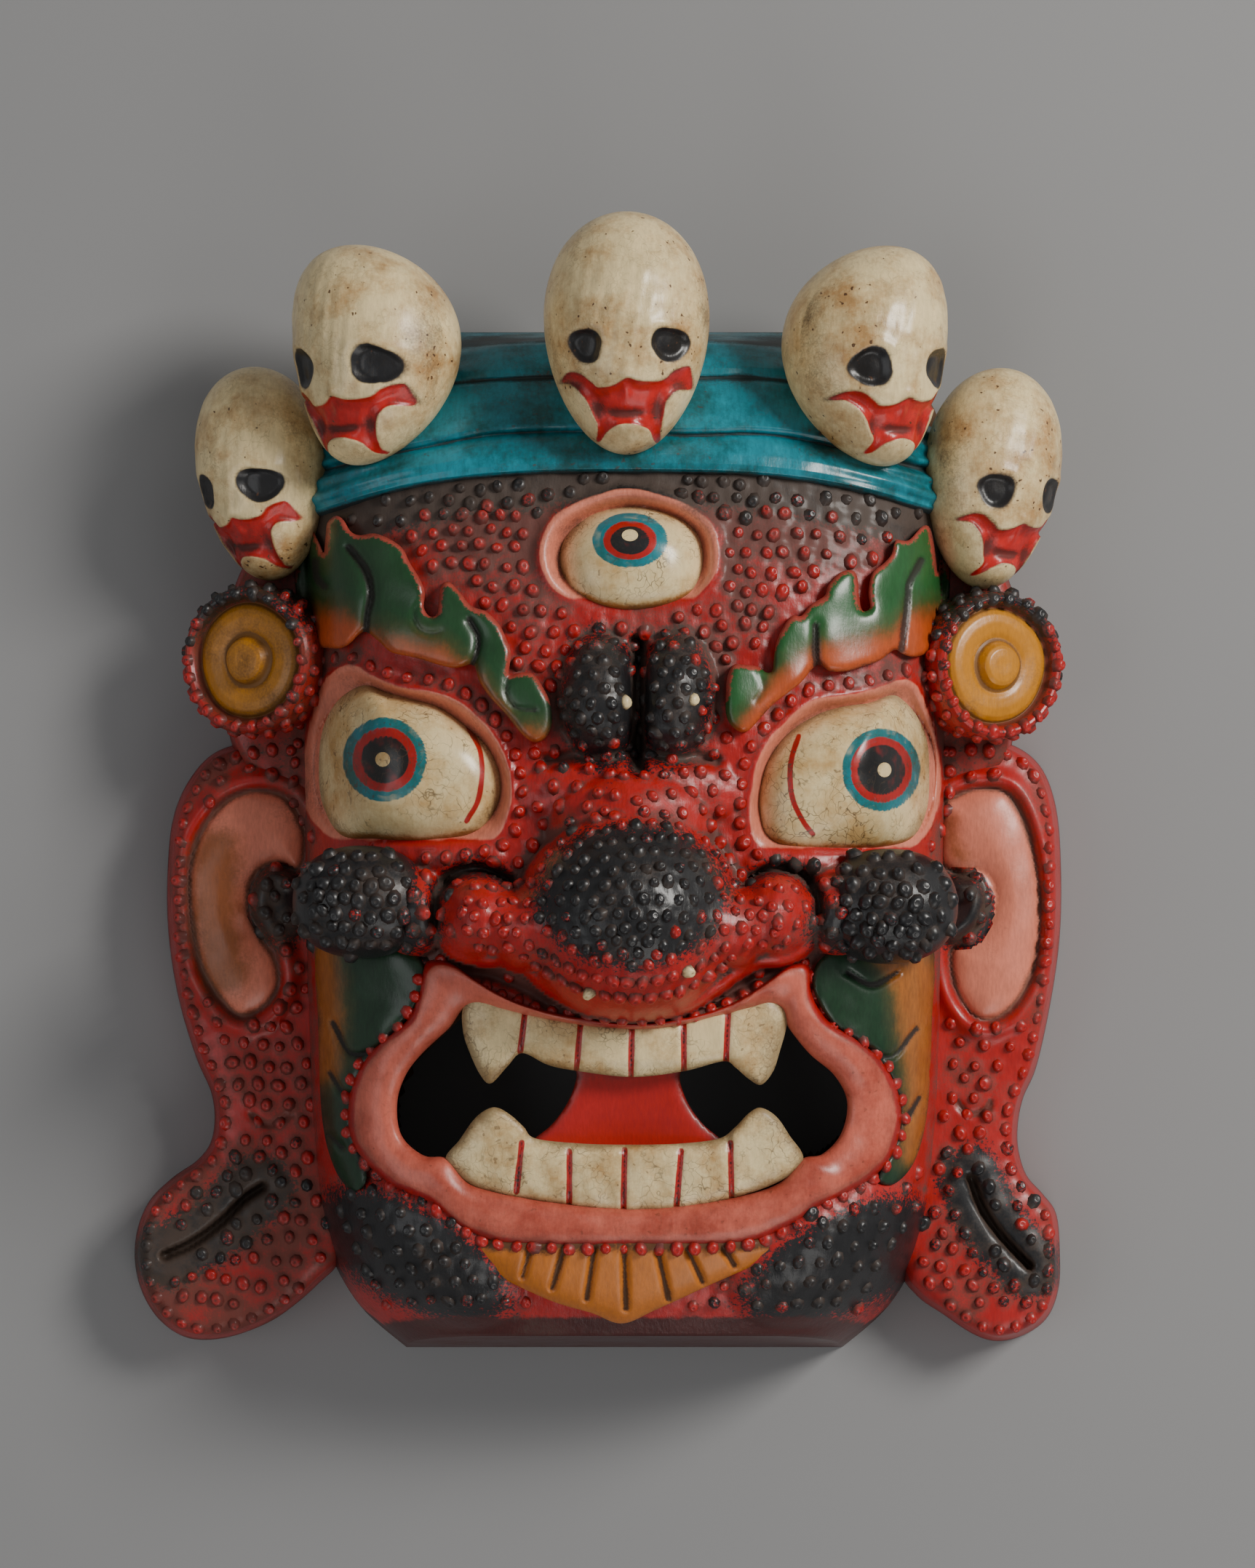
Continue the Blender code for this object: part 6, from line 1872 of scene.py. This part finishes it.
class MASK_OT_skulls(bpy.types.Operator):
    """Build the five skulls"""

    bl_idname = "mask.skulls"
    bl_label = "Crown with skulls"
    bl_options = {"REGISTER", "UNDO"}

    def execute(self, context):
        build_skulls()
        return {"FINISHED"}


class MASK_OT_ears(bpy.types.Operator):
    """Build the ears and the wood behind them"""

    bl_idname = "mask.ears"
    bl_label = "Carve the ears"
    bl_options = {"REGISTER", "UNDO"}

    def execute(self, context):
        build_ears()
        return {"FINISHED"}


class MASK_OT_drums(bpy.types.Operator):
    """Build the two ear drums"""

    bl_idname = "mask.drums"
    bl_label = "Turn the ear drums"
    bl_options = {"REGISTER", "UNDO"}

    def execute(self, context):
        build_drums()
        return {"FINISHED"}


class MASK_OT_cheeks(bpy.types.Operator):
    """Build the two cheek balls"""

    bl_idname = "mask.cheeks"
    bl_label = "Round the cheeks"
    bl_options = {"REGISTER", "UNDO"}

    def execute(self, context):
        build_cheeks()
        return {"FINISHED"}


class MASK_OT_studs(bpy.types.Operator):
    """Build the studs over the carving"""

    bl_idname = "mask.studs"
    bl_label = "Scatter the studs"
    bl_options = {"REGISTER", "UNDO"}

    def execute(self, context):
        build_studs()
        return {"FINISHED"}


class MASK_OT_stage(bpy.types.Operator):
    """Build floor, light and camera"""

    bl_idname = "mask.stage"
    bl_label = "Set the stage"
    bl_options = {"REGISTER", "UNDO"}

    def execute(self, context):
        build_stage()
        return {"FINISHED"}


STEPS = [
    MASK_OT_paints, MASK_OT_face, MASK_OT_turban, MASK_OT_back, MASK_OT_lips, MASK_OT_teeth, MASK_OT_brows,
    MASK_OT_beard, MASK_OT_eyes, MASK_OT_skulls, MASK_OT_ears, MASK_OT_drums, MASK_OT_cheeks, MASK_OT_studs,
    MASK_OT_stage,
]


class MASK_PT_panel(bpy.types.Panel):
    """The mask's steps and settings in the sidebar."""

    bl_label = "Carved mask"
    bl_space_type = "VIEW_3D"
    bl_region_type = "UI"
    bl_category = "Mask"

    def draw(self, context):
        for step in STEPS:
            self.layout.operator(step.bl_idname)
        for group in (context.scene.mask_studs, context.scene.mask_stage, context.scene.mask_paint):
            for key in group.__annotations__:
                self.layout.prop(group, key)


GROUPS = {"mask_paint": MaskPaint, "mask_studs": MaskStuds, "mask_stage": MaskStage}


def register():
    """Registers settings, steps and panel."""
    for name, group in GROUPS.items():
        bpy.utils.register_class(group)
        setattr(bpy.types.Scene, name, PointerProperty(type=group))
    for made in STEPS + [MASK_PT_panel]:
        bpy.utils.register_class(made)


def unregister():
    """Takes them away again."""
    for made in reversed(STEPS + [MASK_PT_panel]):
        bpy.utils.unregister_class(made)
    for name, group in GROUPS.items():
        delattr(bpy.types.Scene, name)
        bpy.utils.unregister_class(group)


def main():
    """Builds the mask and its stage."""
    register()
    for step in STEPS:
        getattr(bpy.ops.mask, step.bl_idname.split(".")[1])()


if __name__ == "__main__":
    main()
